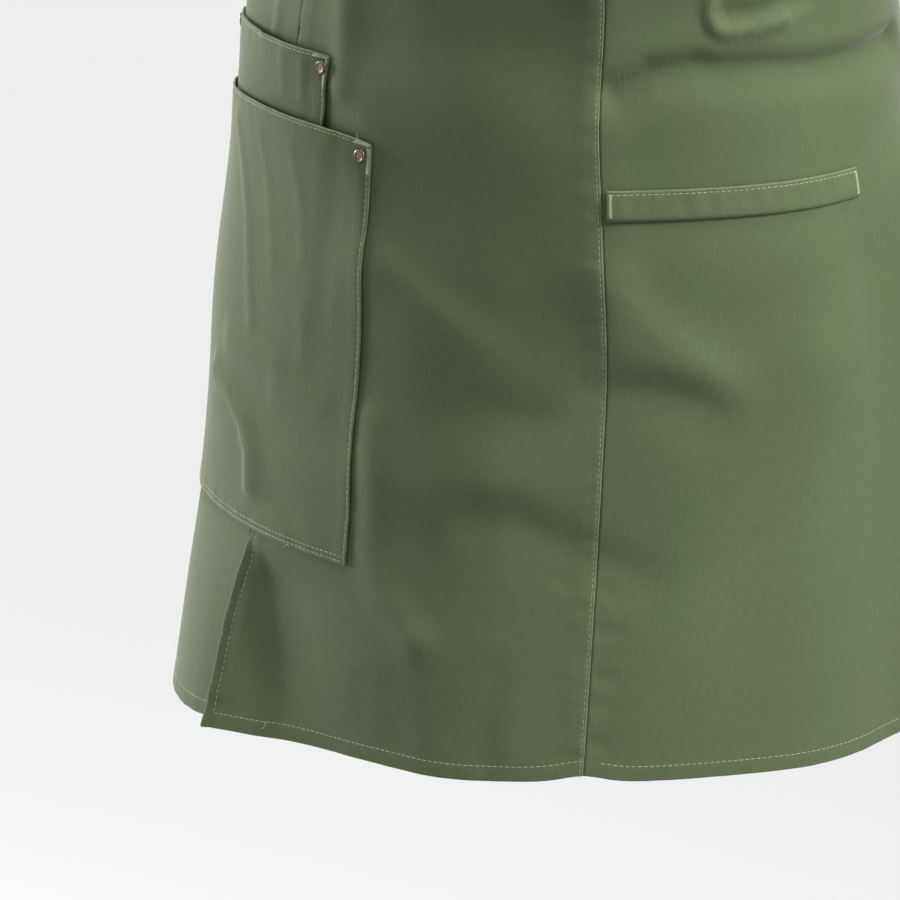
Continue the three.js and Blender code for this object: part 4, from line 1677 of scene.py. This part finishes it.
@dataclass
class WeltBag:
    """The bag inside the welt pocket: one cloth folded up at the bottom."""

    form: WornForm
    front: float = 33.0
    back: float = 79.0
    top: float = -538.0
    mouth: float = -556.5
    bottom: float = -690.0
    face_out: float = -1.0
    spread: float = 3.0
    gap: float = 0.5
    thickness: float = 0.9
    length: float = 300.0
    fold: float = 0.02

    def shape(self, across: Array, along: Array, through: Array) -> tuple[Array, Array, Array]:
        """The points, cloth map and edge paleness for the bag's grid, which goes down the front layer and up
        the back.

        Args:
            across: Places across.
            along: Places along.
            through: 0 or 1, for the cloth's two faces.

        Returns:
            The points, the cloth map and the edge paleness, which is 0 throughout.
        """
        angle = between(self.front, self.back, across)
        down = 1.0 - np.abs(2.0 * along - 1.0)
        start = np.where(along < 0.5, self.mouth, self.top)
        height = between(start, self.bottom, down)
        apart = self.gap + 2.0 * self.thickness + self.spread * np.sin(math.pi * across)
        turn = np.clip((along - 0.5) / self.fold, -1.0, 1.0)
        middle = self.face_out - self.thickness - apart / 2
        out = middle - (apart / 2) * np.sin(turn * math.pi / 2)
        dip = (1.0 - through) * self.thickness
        out = out + np.where(np.abs(turn) < 1.0, 0.0, 1.0) * np.sign(-turn) * (dip - self.thickness / 2)
        height = height - (dip - self.thickness / 2) * np.cos(turn * math.pi / 2)
        grain = np.stack([np.radians(angle) * self.form.fold_radius, along * self.length], axis=1) * MM
        return self.form.point(angle, height, out), grain, np.zeros_like(angle)

    def build(self, name: str) -> bpy.types.Object:
        """Make the bag's mesh, with closer lines round its bottom fold.

        Args:
            name: The piece's name.

        Returns:
            The new object.
        """
        fold = 0.5 + self.fold * np.linspace(-1.0, 1.0, 9)
        down, up = np.linspace(0.0, 0.5 - self.fold, 40), np.linspace(0.5 + self.fold, 1.0, 40)
        along = np.concatenate([down[:-1], fold, up[1:]])
        return cloth_shell(name, np.linspace(0.0, 1.0, 50), along, self.shape)


def route_points(knots: Array, share: Array) -> Array:
    """Points on a smooth curve through knots, with even time from knot to knot.

    Args:
        knots: The knots, one in each row.
        share: Places along the curve, from 0 to 1.

    Returns:
        The points.
    """
    last = len(knots) - 1
    padded = np.vstack([2 * knots[0] - knots[1], knots, 2 * knots[-1] - knots[-2]])
    place = np.clip(share, 0.0, 1.0) * last
    i = np.minimum(place.astype(int), last - 1)
    t = (place - i)[:, None]
    before, start, end, after = (padded[i + k] for k in range(4))
    pairs = ((before, start), (start, end), (end, after))
    d0, d1, d2 = (np.sum((b - a) ** 2, axis=1, keepdims=True) ** 0.25 for a, b in pairs)
    leave = ((start - before) / d0 - (end - before) / (d0 + d1) + (end - start) / d1) * d1
    arrive = ((end - start) / d1 - (after - start) / (d1 + d2) + (after - end) / d2) * d1
    rest = 2 * start - 2 * end + leave + arrive
    return start + leave * t + (-3 * start + 3 * end - 2 * leave - arrive) * t**2 + rest * t**3


@dataclass
class NeckStrap:
    """The strap from one bib corner over the shoulders and round the nape to the other."""

    form: WornForm
    pattern: Pattern
    width: float = 25.0
    thickness: float = 1.6
    sewn_angle: float = 31.0
    sewn_length: float = 32.0
    sewn_gap: float = 1.6
    length: float = 553.0
    row: float = 2.0
    row_seat: float = 0.15
    row_span: Pair = (0.004, 0.996)
    groove: float = 0.2
    groove_reach: float = 0.8
    # Places on the middle of the inner face from above the bib to the nape, and where the outer face looks
    route: ClassVar[tuple[tuple[float, ...], ...]] = (
        (72, -119, -118, 0.28, -0.9, 0.33),
        (69, -102, -82, 0.32, -0.8, 0.51),
        (65, -78, -48, 0.4, -0.52, 0.76),
        (59, -52, -24, 0.58, -0.12, 0.8),
        (48, -27, -9, 0.68, 0.36, 0.64),
        (27, -7, -1.5, 0.42, 0.8, 0.43),
        (0, 0, 0, 0, 0.93, 0.37),
    )

    def knots(self) -> tuple[Array, Array]:
        """The route's knots and the outward look at each, from the left corner to the right one.

        Returns:
            The knots and the looks, one in each row.
        """
        heights = self.pattern.bib_top - self.sewn_length * np.array([1.0, 0.5, 0.0])
        angle = np.full(3, self.sewn_angle)
        sewn = self.form.point(angle, heights, -self.thickness - self.sewn_gap) / MM
        free = np.array(self.route, float)
        points = np.vstack([sewn, free[:, :3]])
        looks = np.vstack([self.form.outward(angle, heights), free[:, 3:]])
        flip = np.array([-1.0, 1.0, 1.0])
        return np.vstack([points, points[-2::-1] * flip]), np.vstack([looks, looks[-2::-1] * flip])

    def surface(self, across: Array, along: Array, lift: Array) -> tuple[Array, Array]:
        """Points over the strap.

        Args:
            across: Distances from the strap's middle line.
            along: Places along, from 0 to 1.
            lift: Distances out from the inner face.

        Returns:
            The points in metres and the outward direction at each.
        """
        points, looks = self.knots()
        middle = route_points(points, along)
        ahead = unit(route_points(points, along + ROUTE_NUDGE) - route_points(points, along - ROUTE_NUDGE))
        wide = unit(np.cross(route_points(looks, along), ahead))
        out = np.cross(ahead, wide)
        return (middle + wide * across[:, None] + out * lift[:, None]) * MM, out

    def shape(self, across: Array, along: Array, through: Array) -> tuple[Array, Array, Array]:
        """The points, cloth map and edge paleness for the strap's grid.

        Args:
            across: Places across the piece.
            along: Places along the piece.
            through: 0 on the back of the cloth and 1 on its face.

        Returns:
            The points in metres, the cloth map and the wear.
        """
        reach = (across - 0.5) * self.width
        distance = self.width / 2 - np.abs(reach)
        lift = through * self.thickness
        lift = lift - self.groove * through * bell(distance - self.row, self.groove_reach)
        lift = lift + rounded(distance, 1.0, STRAP_ROUNDING, through)
        points, _ = self.surface(reach, along, lift)
        grain = np.stack([reach, along * self.length], axis=1) * MM
        return points, grain, bell(distance, STRAP_WEAR_AND_HIGHLIGHT)

    def build(self, name: str) -> bpy.types.Object:
        """Make the strap's mesh."""
        return cloth_shell(name, grid_lines(self.width, 2.5), np.linspace(0.0, 1.0, 241), self.shape)

    def stitch(self, stitching: Stitching) -> None:
        """Sew the strap's two edges.

        Args:
            stitching: Where the stitches are gathered.
        """
        along = np.linspace(*self.row_span, 400)
        lift = np.full_like(along, self.thickness - self.row_seat)
        for reach in (self.width / 2 - self.row, self.row - self.width / 2):
            stitching.run(*self.surface(np.full_like(along, reach), along, lift))


@dataclass
class WaistTie(FormCloth):
    """A tie sewn on at the panel's back corner and laid round the back to the knot."""

    side: Side = Side.LEFT
    thickness: float = 1.6
    width: float = 26.0
    height: float = -395.0
    start: float = 104.0
    settle: Pair = (114.0, 126.0)
    seat: float = 1.7
    meet: float = 2.0
    narrowing: float = 0.3
    narrowing_start: float = 0.72
    pleat: float = 1.4
    pleat_waves: float = 5.0
    pleat_reach: float = 22.0
    row_gaps: Pair = (0.7, 8.0)
    square: Pair = (0.7, 6.5)
    spread: float = 170.0
    hems: ClassVar[tuple[Hem, ...]] = (
        Hem(Edge.TOP, 26.0, face=0.0, rows=(2.0,), pucker=0.06),
        Hem(Edge.BOTTOM, 26.0, face=0.0, rows=(2.0,), pucker=0.06),
        Hem(Edge.NEAR, 6.0, face=0.0, pucker=0.0),
    )

    @property
    def end(self) -> float:
        """The angle where the tie ends, inside the knot."""
        return 180.0 - float(self.form.degrees(self.meet, 180.0, self.height))

    def lines(self) -> tuple[Array, Array]:
        """The places of the grid lines across and along."""
        return grid_lines(self.spread, 2.5, far=False), grid_lines(self.width, 2.4)

    def drawn(self, share: Array) -> Array:
        """How much of its width the tie keeps, from 0 at its start to 1 at the knot."""
        return 1.0 - self.narrowing * smooth(share, self.narrowing_start, 1.0)

    def place(self, across: Array, along: Array) -> tuple[Array, Array]:
        """The angle and height of places across and along the piece, drawn together at the knot."""
        angle = between(self.start, self.end, across)
        return self.side.value * angle, self.height + self.width * (0.5 - along) * self.drawn(across)

    def inset(self, edge: Edge, angle: Array, height: Array) -> Array:
        """The distance in from an edge.

        Args:
            edge: Which edge it is.
            angle: The angles.
            height: The heights.

        Returns:
            The distance at each place.
        """
        turn = np.abs(angle)
        if edge is Edge.NEAR:
            return self.form.span(turn - self.start, turn, height)
        if edge is Edge.FAR:
            return self.form.span(self.end - turn, turn, height)
        half = self.width / 2 * self.drawn((turn - self.start) / (self.end - self.start))
        return half - (height - self.height) if edge is Edge.TOP else half + (height - self.height)

    def lift(self, angle: Array, height: Array) -> Array:
        """How far the tie's back is out: over the panel first, then on the form, pleated at the knot.

        Args:
            angle: The angles.
            height: The heights.

        Returns:
            The distance out at each place.
        """
        turn = np.abs(angle)
        over = self.seat * (1.0 - smooth(turn, *self.settle))
        gather = smooth(turn, self.end - self.pleat_reach, self.end)
        wave = np.sin((height - self.height) / self.width * self.pleat_waves * math.pi)
        return over + gather * (self.pleat * wave + self.pleat)

    def stitch(self, stitching: Stitching) -> None:
        """Sew the tie's edges and the square that holds it to the panel.

        Args:
            stitching: Where the stitches are gathered.
        """
        row, sign = self.hem_on(Edge.TOP).rows[0], self.side.value
        turn = np.linspace(self.start + self.row_gaps[0], self.end - self.row_gaps[1], 120)
        half = self.width / 2 * self.drawn((turn - self.start) / (self.end - self.start)) - row
        for reach in (-half, half):
            self.sew(stitching, sign * turn, self.height + reach)
        reach = self.width / 2 - row
        rise = np.linspace(self.height - reach, self.height + reach, 20)
        for column in self.square:
            self.sew(stitching, np.full_like(rise, sign * (self.start + column)), rise)


@dataclass
class WaistKnot:
    """The knot at the middle of the back, with its two tails."""

    form: WornForm
    half: Triple = (19.0, 10.0, 17.0)
    height: float = -395.0
    seat: float = 3.7
    tail_width: float = 23.0
    tail_length: float = 190.0
    tail_start: float = 6.0
    tail_spread: float = 0.16
    tail_sway: float = 3.0
    tail_curl: float = 1.6
    tail_curl_turns: float = 2.2
    tail_thickness: float = 1.6
    tail_row: float = 2.0
    tail_row_span: Pair = (0.12, 0.985)
    core: float = 0.86
    band: float = 0.42
    band_swell: float = 0.12
    crease: Pair = (0.46, 0.07)
    crease_depth: float = 0.1
    wrap: Pair = (7.0, 4.0)
    wrap_swell: float = 0.045
    pleat: Pair = (15.0, 1.2)
    pleat_swell: float = 0.012

    def middle(self) -> Array:
        """The knot's middle, in millimetres."""
        return self.form.point(np.array([180.0]), np.array([self.height]), self.half[1] + self.seat)[0] / MM

    def build_ball(self, name: str) -> bpy.types.Object:
        """Make the knot: a wrapped band over the crossing, with the creases between its turns.

        Args:
            name: The piece's name.

        Returns:
            The new object.
        """
        bm = bmesh.new()
        bmesh.ops.create_uvsphere(bm, u_segments=96, v_segments=64, radius=1.0)
        middle = Vector(self.middle())
        for vert in bm.verts:
            x, y, z = vert.co
            band = math.exp(-((x / self.band) ** 4))
            crease = math.exp(-(((abs(x) - self.crease[0]) / self.crease[1]) ** 2))
            slant = math.sin(self.wrap[0] * x + self.wrap[1] * z * (1.0 if x > 0 else -1.0))
            pleat = math.sin(self.pleat[0] * x + self.pleat[1] * z)
            swell = self.core + self.band_swell * band - self.crease_depth * crease
            swell += self.wrap_swell * slant * (1.0 - band) + self.pleat_swell * pleat * band
            round_off = 1.0 + self.band_swell * (1.0 - abs(z)) * abs(z) * 4.0 * band
            vert.co = Vector((x * self.half[0], y * self.half[1], z * self.half[2] * round_off)) * swell
            vert.co = (vert.co + middle) * MM
        grain = bm.loops.layers.uv.new("cloth")
        for face in bm.faces:
            for loop in face.loops:
                loop[grain].uv = (loop.vert.co.x, loop.vert.co.z)
        mesh = new_mesh(name, bm)
        # The knot's edges are not painted paler: no rubbing and no painted highlight
        mesh.attributes.new("wear_and_highlight", "FLOAT", "POINT")
        return finish_mesh(name, mesh)

    def tail(self, side: Side, across: Array, along: Array, lift: Array) -> Array:
        """Points over a tail.

        Args:
            side: Which tail it is.
            across: Places across it, from 0 to 1.
            along: Places down it, from 0 to 1.
            lift: Distances out from its inner face.

        Returns:
            The points, in metres.
        """
        drop = self.tail_length * along
        x0, y0, z0 = self.middle()
        x = x0 + side.value * (self.tail_start + self.tail_spread * drop) + self.tail_width * (across - 0.5)
        hang = 2 * self.tail_thickness + self.tail_sway * np.sin(math.pi * along)
        wave = np.sin(self.tail_curl_turns * math.pi * along + side.value)
        curl = self.tail_curl * wave * (across - 0.5) * along
        y = y0 + side.value * hang + lift + curl
        return np.stack([x, y, z0 - drop], axis=1) * MM

    def build_tail(self, name: str, side: Side) -> bpy.types.Object:
        """Make one tail of the knot.

        Args:
            name: The piece's name.
            side: Which tail it is.

        Returns:
            The new object.
        """

        def shape(across: Array, along: Array, through: Array) -> tuple[Array, Array, Array]:
            """The points, cloth map and edge paleness for the tail's grid.

            Args:
                across: Places across the piece.
                along: Places along the piece.
                through: 0 on the back of the cloth and 1 on its face.

            Returns:
                The points in metres, the cloth map and the edge paleness of rubbing and painted highlight.
            """
            from_side = self.tail_width * (0.5 - np.abs(across - 0.5))
            distance = np.minimum(from_side, self.tail_length * (1.0 - along))
            lift = through * self.tail_thickness + rounded(distance, 1.0, STRAP_ROUNDING, through)
            grain = np.stack([across * self.tail_width, along * self.tail_length], axis=1) * MM
            return self.tail(side, across, along, lift), grain, bell(distance, STRAP_WEAR_AND_HIGHLIGHT)

        along = grid_lines(self.tail_length, 3.0, near=False)
        return cloth_shell(name, grid_lines(self.tail_width, 2.4), along, shape)

    def stitch(self, stitching: Stitching) -> None:
        """Sew the tails' edges, on the side away from the body.

        Args:
            stitching: Where the stitches are gathered.
        """
        along = np.linspace(*self.tail_row_span, 80)
        out = np.tile([0.0, 1.0, 0.0], (len(along), 1))
        lift = np.full_like(along, self.tail_thickness)
        inset = self.tail_row / self.tail_width
        for side in Side:
            for across in (inset, 1.0 - inset):
                stitching.run(self.tail(side, np.full_like(along, across), along, lift), out)


@dataclass
class Rivet:
    """A tubular rivet at a pocket's top corner: a rimmed cap on the cloth and a burr inside it."""

    form: WornForm
    angle: float
    height: float
    seat: float
    cap: float = 7.0
    cap_height: float = 1.4
    burr: float = 6.2
    burr_height: float = 0.7
    burr_edge: float = 0.2
    inside: float = -1.0
    shank: float = 1.3
    steps: int = 40
    # The cap's outline: in from its rim and up from its seat, then down from its crown, then from its axis
    rim_outline: ClassVar[Places] = ((0.35, 0.0), (0.0, 0.3), (0.0, 0.7))
    crown_outline: ClassVar[Places] = ((0.3, 0.2), (0.8, 0.0), (1.2, 0.1), (1.5, 0.32))
    dome_outline: ClassVar[Places] = ((1.2, 0.22), (0.0, 0.18))

    def build(self, name: str) -> bpy.types.Object:
        """Make the rivet by spinning its outline about its own axis.

        Args:
            name: The piece's name.

        Returns:
            The new object.
        """
        rim, crown = self.cap / 2, self.seat + self.cap_height
        burr, low = self.burr / 2, self.inside - self.burr_height
        flat = burr - self.burr_edge
        outline = [(0.0, low), (flat, low), (burr, self.inside - self.burr_height / 2), (flat, self.inside)]
        outline += [(self.shank, self.inside), (self.shank, self.seat)]
        outline += [(rim - x, self.seat + z) for x, z in self.rim_outline]
        outline += [(rim - x, crown - z) for x, z in self.crown_outline]
        outline += [(x, crown - z) for x, z in self.dome_outline]
        bm = bmesh.new()
        verts = [bm.verts.new((x * MM, 0.0, z * MM)) for x, z in outline]
        edges = [bm.edges.new(pair) for pair in zip(verts, verts[1:])]
        whole = {"cent": (0, 0, 0), "axis": (0, 0, 1), "angle": 2 * math.pi}
        bmesh.ops.spin(bm, geom=verts + edges, steps=self.steps, use_merge=True, **whole)
        bmesh.ops.remove_doubles(bm, verts=bm.verts[:], dist=1e-6)
        bmesh.ops.recalc_face_normals(bm, faces=bm.faces[:])
        turn = np.array([self.angle])
        level = np.array([self.height])
        out = Vector(self.form.outward(turn, level)[0])
        base = Vector(self.form.point(turn, level, 0.0)[0])
        place = Matrix.Translation(base) @ out.to_track_quat("Z", "Y").to_matrix().to_4x4()
        bmesh.ops.transform(bm, matrix=place, verts=bm.verts[:])
        return finish_mesh(name, new_mesh(name, bm))


@dataclass
class Studio:
    """The plain floor, soft light and camera."""

    floor_height: float = -1450.0
    floor_size: float = 40000.0
    target: Triple = (0.0, -70.0, -630.0)
    target_pixel: Pair = (570.0, 282.0)
    image: float = 900.0
    azimuth: float = 28.0
    elevation: float = 14.0
    distance: float = 4000.0
    per_pixel: float = 0.52
    sensor: float = 36.0
    clip_end: float = 100.0
    light_size: float = 1.2
    light_spread: float = 34.0
    light_aim: Triple = (0.0, -0.1, -0.5)
    ceiling_power: float = 3.4
    ceiling_spread: float = 40.0
    sky: str = "#ffffff"
    sky_front: Pair = (-0.6, 0.19)
    sky_back: Pair = (0.6, 0.5)
    # Each soft light's name, place in metres, power in watts and colour
    soft_lights: ClassVar[tuple[tuple[str, Triple, float, str], ...]] = (
        ("window", (-3.0, -0.3, -0.1), 9.2, "#fdf6ff"),
        ("fill", (2.7, 0.0, 1.5), 11.2, "#f6f8ff"),
    )

    def build_floor(self, material: bpy.types.Material) -> bpy.types.Object:
        """Make the floor that the wearer would stand on.

        Args:
            material: Its finish.

        Returns:
            The floor.
        """
        bm = bmesh.new()
        bmesh.ops.create_grid(bm, x_segments=8, y_segments=8, size=self.floor_size * MM / 2)
        bmesh.ops.translate(bm, vec=(0.0, 0.0, self.floor_height * MM), verts=bm.verts[:])
        mesh = new_mesh("floor", bm)
        mesh.materials.append(material)
        floor = bpy.data.objects.new("floor", mesh)
        bpy.context.scene.collection.objects.link(floor)
        return floor

    def build_camera(self) -> bpy.types.Object:
        """Make the camera at the photograph's viewing angle.

        Returns:
            The camera.
        """
        turn, tilt = math.radians(self.azimuth), math.radians(self.elevation)
        back = Vector((math.sin(turn) * math.cos(tilt), -math.cos(turn) * math.cos(tilt), math.sin(tilt)))
        right = Vector((math.cos(turn), math.sin(turn), 0.0))
        up = back.cross(right)
        focal = self.distance / self.per_pixel
        aim = right * (self.image / 2 - self.target_pixel[0]) + up * (self.target_pixel[1] - self.image / 2)
        data = bpy.data.cameras.new("camera")
        data.sensor_width = self.sensor
        data.lens = focal / self.image * self.sensor
        data.clip_end = self.clip_end
        camera = bpy.data.objects.new("camera", data)
        camera.location = (Vector(self.target) + back * self.distance) * MM
        camera.rotation_euler = (aim - back * focal).to_track_quat("-Z", "Y").to_euler()
        bpy.context.scene.collection.objects.link(camera)
        bpy.context.scene.camera = camera
        return camera

    def add_light(self, name: str, place: Triple, power: float, tint: str) -> None:
        """Add a square soft light that looks at the apron's skirt.

        Args:
            name: The light's name.
            place: Where it is, in metres.
            power: Its power, in watts.
            tint: Its colour.
        """
        data = bpy.data.lights.new(name, "AREA")
        data.shape = "SQUARE"
        data.size = self.light_size
        data.energy = power
        data.spread = math.radians(self.light_spread)
        data.color = linear(tint)[:3]
        light = bpy.data.objects.new(name, data)
        light.location = place
        light.visible_camera = False
        look = Vector(self.light_aim) - Vector(place)
        light.rotation_euler = look.to_track_quat("-Z", "Y").to_euler()
        bpy.context.scene.collection.objects.link(light)

    def build_lights(self) -> None:
        """Light the apron softly: a large window on its right, a fill on its left and an even sky."""
        for light in self.soft_lights:
            self.add_light(*light)
        data = bpy.data.lights.new("ceiling", "SUN")
        data.energy = self.ceiling_power
        data.angle = math.radians(self.ceiling_spread)
        ceiling = bpy.data.objects.new("ceiling", data)
        bpy.context.scene.collection.objects.link(ceiling)
        world = bpy.data.worlds.new("studio")
        world.use_nodes = True
        tree = world.node_tree
        tree.nodes.clear()
        # The room is darker on the front's side than round the pale backdrop
        look = add_node(tree, "ShaderNodeTexCoord").outputs["Generated"]
        depth = add_node(tree, "ShaderNodeSeparateXYZ", {"Vector": look}).outputs["Y"]
        (front, dim), (back, bright) = self.sky_front, self.sky_back
        room = {"Value": depth, "From Min": front, "From Max": back, "To Min": dim, "To Max": bright}
        glow = add_node(tree, "ShaderNodeMapRange", room).outputs["Result"]
        sky = add_node(tree, "ShaderNodeBackground", {"Color": linear(self.sky), "Strength": glow})
        add_node(tree, "ShaderNodeOutputWorld", {"Surface": sky.outputs["Background"]})
        bpy.context.scene.world = world


@dataclass
class Apron:
    """The whole apron, built from its form and pattern."""

    form: WornForm = field(default_factory=WornForm)
    pattern: Pattern = field(default_factory=Pattern)
    rivet_gap: float = 0.15
    # The slot behind the welt: its front, back, top and bottom
    welt_slot: ClassVar[Four] = (34.0, 77.5, -547.5, -553.5)
    # Loose thread ends, as angles and heights along each
    slit_thread: ClassVar[Places] = ((-21.9, -830.6), (-21.6, -832.4), (-21.9, -834.2))
    pocket_threads: ClassVar[tuple[Places, ...]] = (
        ((-12.9, -529.0), (-12.8, -527.2), (-13.1, -525.6), (-12.8, -524.4)),
        ((-23.3, -743.0), (-22.7, -741.8), (-22.2, -741.2), (-21.9, -742.4)),
    )

    def build(self) -> None:
        """Make and dress every piece."""
        twill = TwillFinish().material()
        stitching = Stitching(ThreadFinish().material())
        self.build_panels(twill, stitching)
        self.build_pockets(twill, stitching)
        self.build_straps(twill, stitching)

    def build_panels(self, twill: bpy.types.Material, stitching: Stitching) -> None:
        """Make the three panels.

        Args:
            twill: Their finish.
            stitching: Where their stitches are gathered.
        """
        centre = CentrePanel(self.form, self.pattern)
        panel = dress(centre.build("centre_cloth"), twill, "twill", "centre_panel")
        centre.stitch(stitching)
        centre.thread_end(stitching, *self.slit_thread)
        for side, name, slot in ((Side.RIGHT, "right", None), (Side.LEFT, "left", self.welt_slot)):
            panel = SidePanel(self.form, self.pattern, side=side, slot=slot)
            cloth = dress(panel.build(f"{name}_side_cloth"), twill, "twill", f"{name}_side_panel")
            panel.stitch(stitching)
        stitching.build("panel_stitches")

    def build_pockets(self, twill: bpy.types.Material, stitching: Stitching) -> None:
        """Make the patch pockets with their rivets, and the welt pocket.

        Args:
            twill: The cloth's finish.
            stitching: Where the stitches are gathered.
        """
        copper = RivetFinish().material()
        small = PatchPocket(self.form, self.pattern)
        large = PatchPocket(
            self.form, self.pattern, front=-10.7, front_foot=-10.6, back=-79.0, top=-530.4, bow=8.2,
            bottom=-744.6, bottom_bow=5.0, gape=5.5, gape_depth=30.0, under=small,
        )
        for pocket, name, flat, inward, down, threads in (
            (small, "small_pocket", (0.155, 0.158), 1.3, 6.4, ()),
            (large, "large_pocket", (0.24, 0.245), 1.8, 7.6, self.pocket_threads),
        ):
            cloth = dress(pocket.build(f"{name}_cloth"), twill, "twill", name)
            pocket.stitch(stitching)
            for places in threads:
                pocket.thread_end(stitching, *places)
            for corner, angle in (("front", pocket.front - inward), ("back", pocket.back + inward)):
                height = float(pocket.mouth(np.array(angle))) - down
                place = np.array([angle]), np.array([height])
                seat = float(pocket.lift(*place)[0]) + pocket.thickness + self.rivet_gap
                rivet = Rivet(self.form, angle, height, seat)
                dress(rivet.build(f"{name}_rivet_cap_{corner}"), copper, "rivet", f"{name}_rivet_{corner}")
        welt = PocketWelt(self.form, self.pattern)
        cloth = dress(welt.build("pocket_welt_cloth"), twill, "twill", "pocket_welt")
        welt.stitch(stitching)
        bag = WeltBag(self.form).build("welt_bag_cloth")
        dress(bag, PocketingFinish().material(), "pocketing", "welt_pocket_bag")
        stitching.build("pocket_stitches")

    def build_straps(self, twill: bpy.types.Material, stitching: Stitching) -> None:
        """Make the neck strap, the waist ties and the knot.

        Args:
            twill: The cloth's finish.
            stitching: Where the stitches are gathered.
        """
        strap = NeckStrap(self.form, self.pattern)
        cloth = dress(strap.build("neck_strap_cloth"), twill, "twill", "neck_strap")
        strap.stitch(stitching)
        for side, name in ((Side.RIGHT, "right"), (Side.LEFT, "left")):
            tie = WaistTie(self.form, self.pattern, side=side)
            cloth = dress(tie.build(f"{name}_tie_cloth"), twill, "twill", f"{name}_waist_tie")
            tie.stitch(stitching)
        knot = WaistKnot(self.form)
        dress(knot.build_ball("waist_knot_band"), twill, "twill", "waist_knot")
        for side, name in ((Side.RIGHT, "right"), (Side.LEFT, "left")):
            tail = dress(knot.build_tail(f"{name}_knot_tail", side), twill, "twill")
        knot.stitch(stitching)
        stitching.build("strap_stitches")


def main() -> None:
    """Build the studio and the apron."""
    logging.basicConfig(level=logging.INFO, format="%(name)s: %(message)s")
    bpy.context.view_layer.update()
    studio = Studio()
    studio.build_camera()
    studio.build_floor(FloorFinish().material())
    studio.build_lights()
    bpy.context.scene.view_settings.view_transform = "Standard"
    Apron().build()


if __name__ == "__main__":
    main()
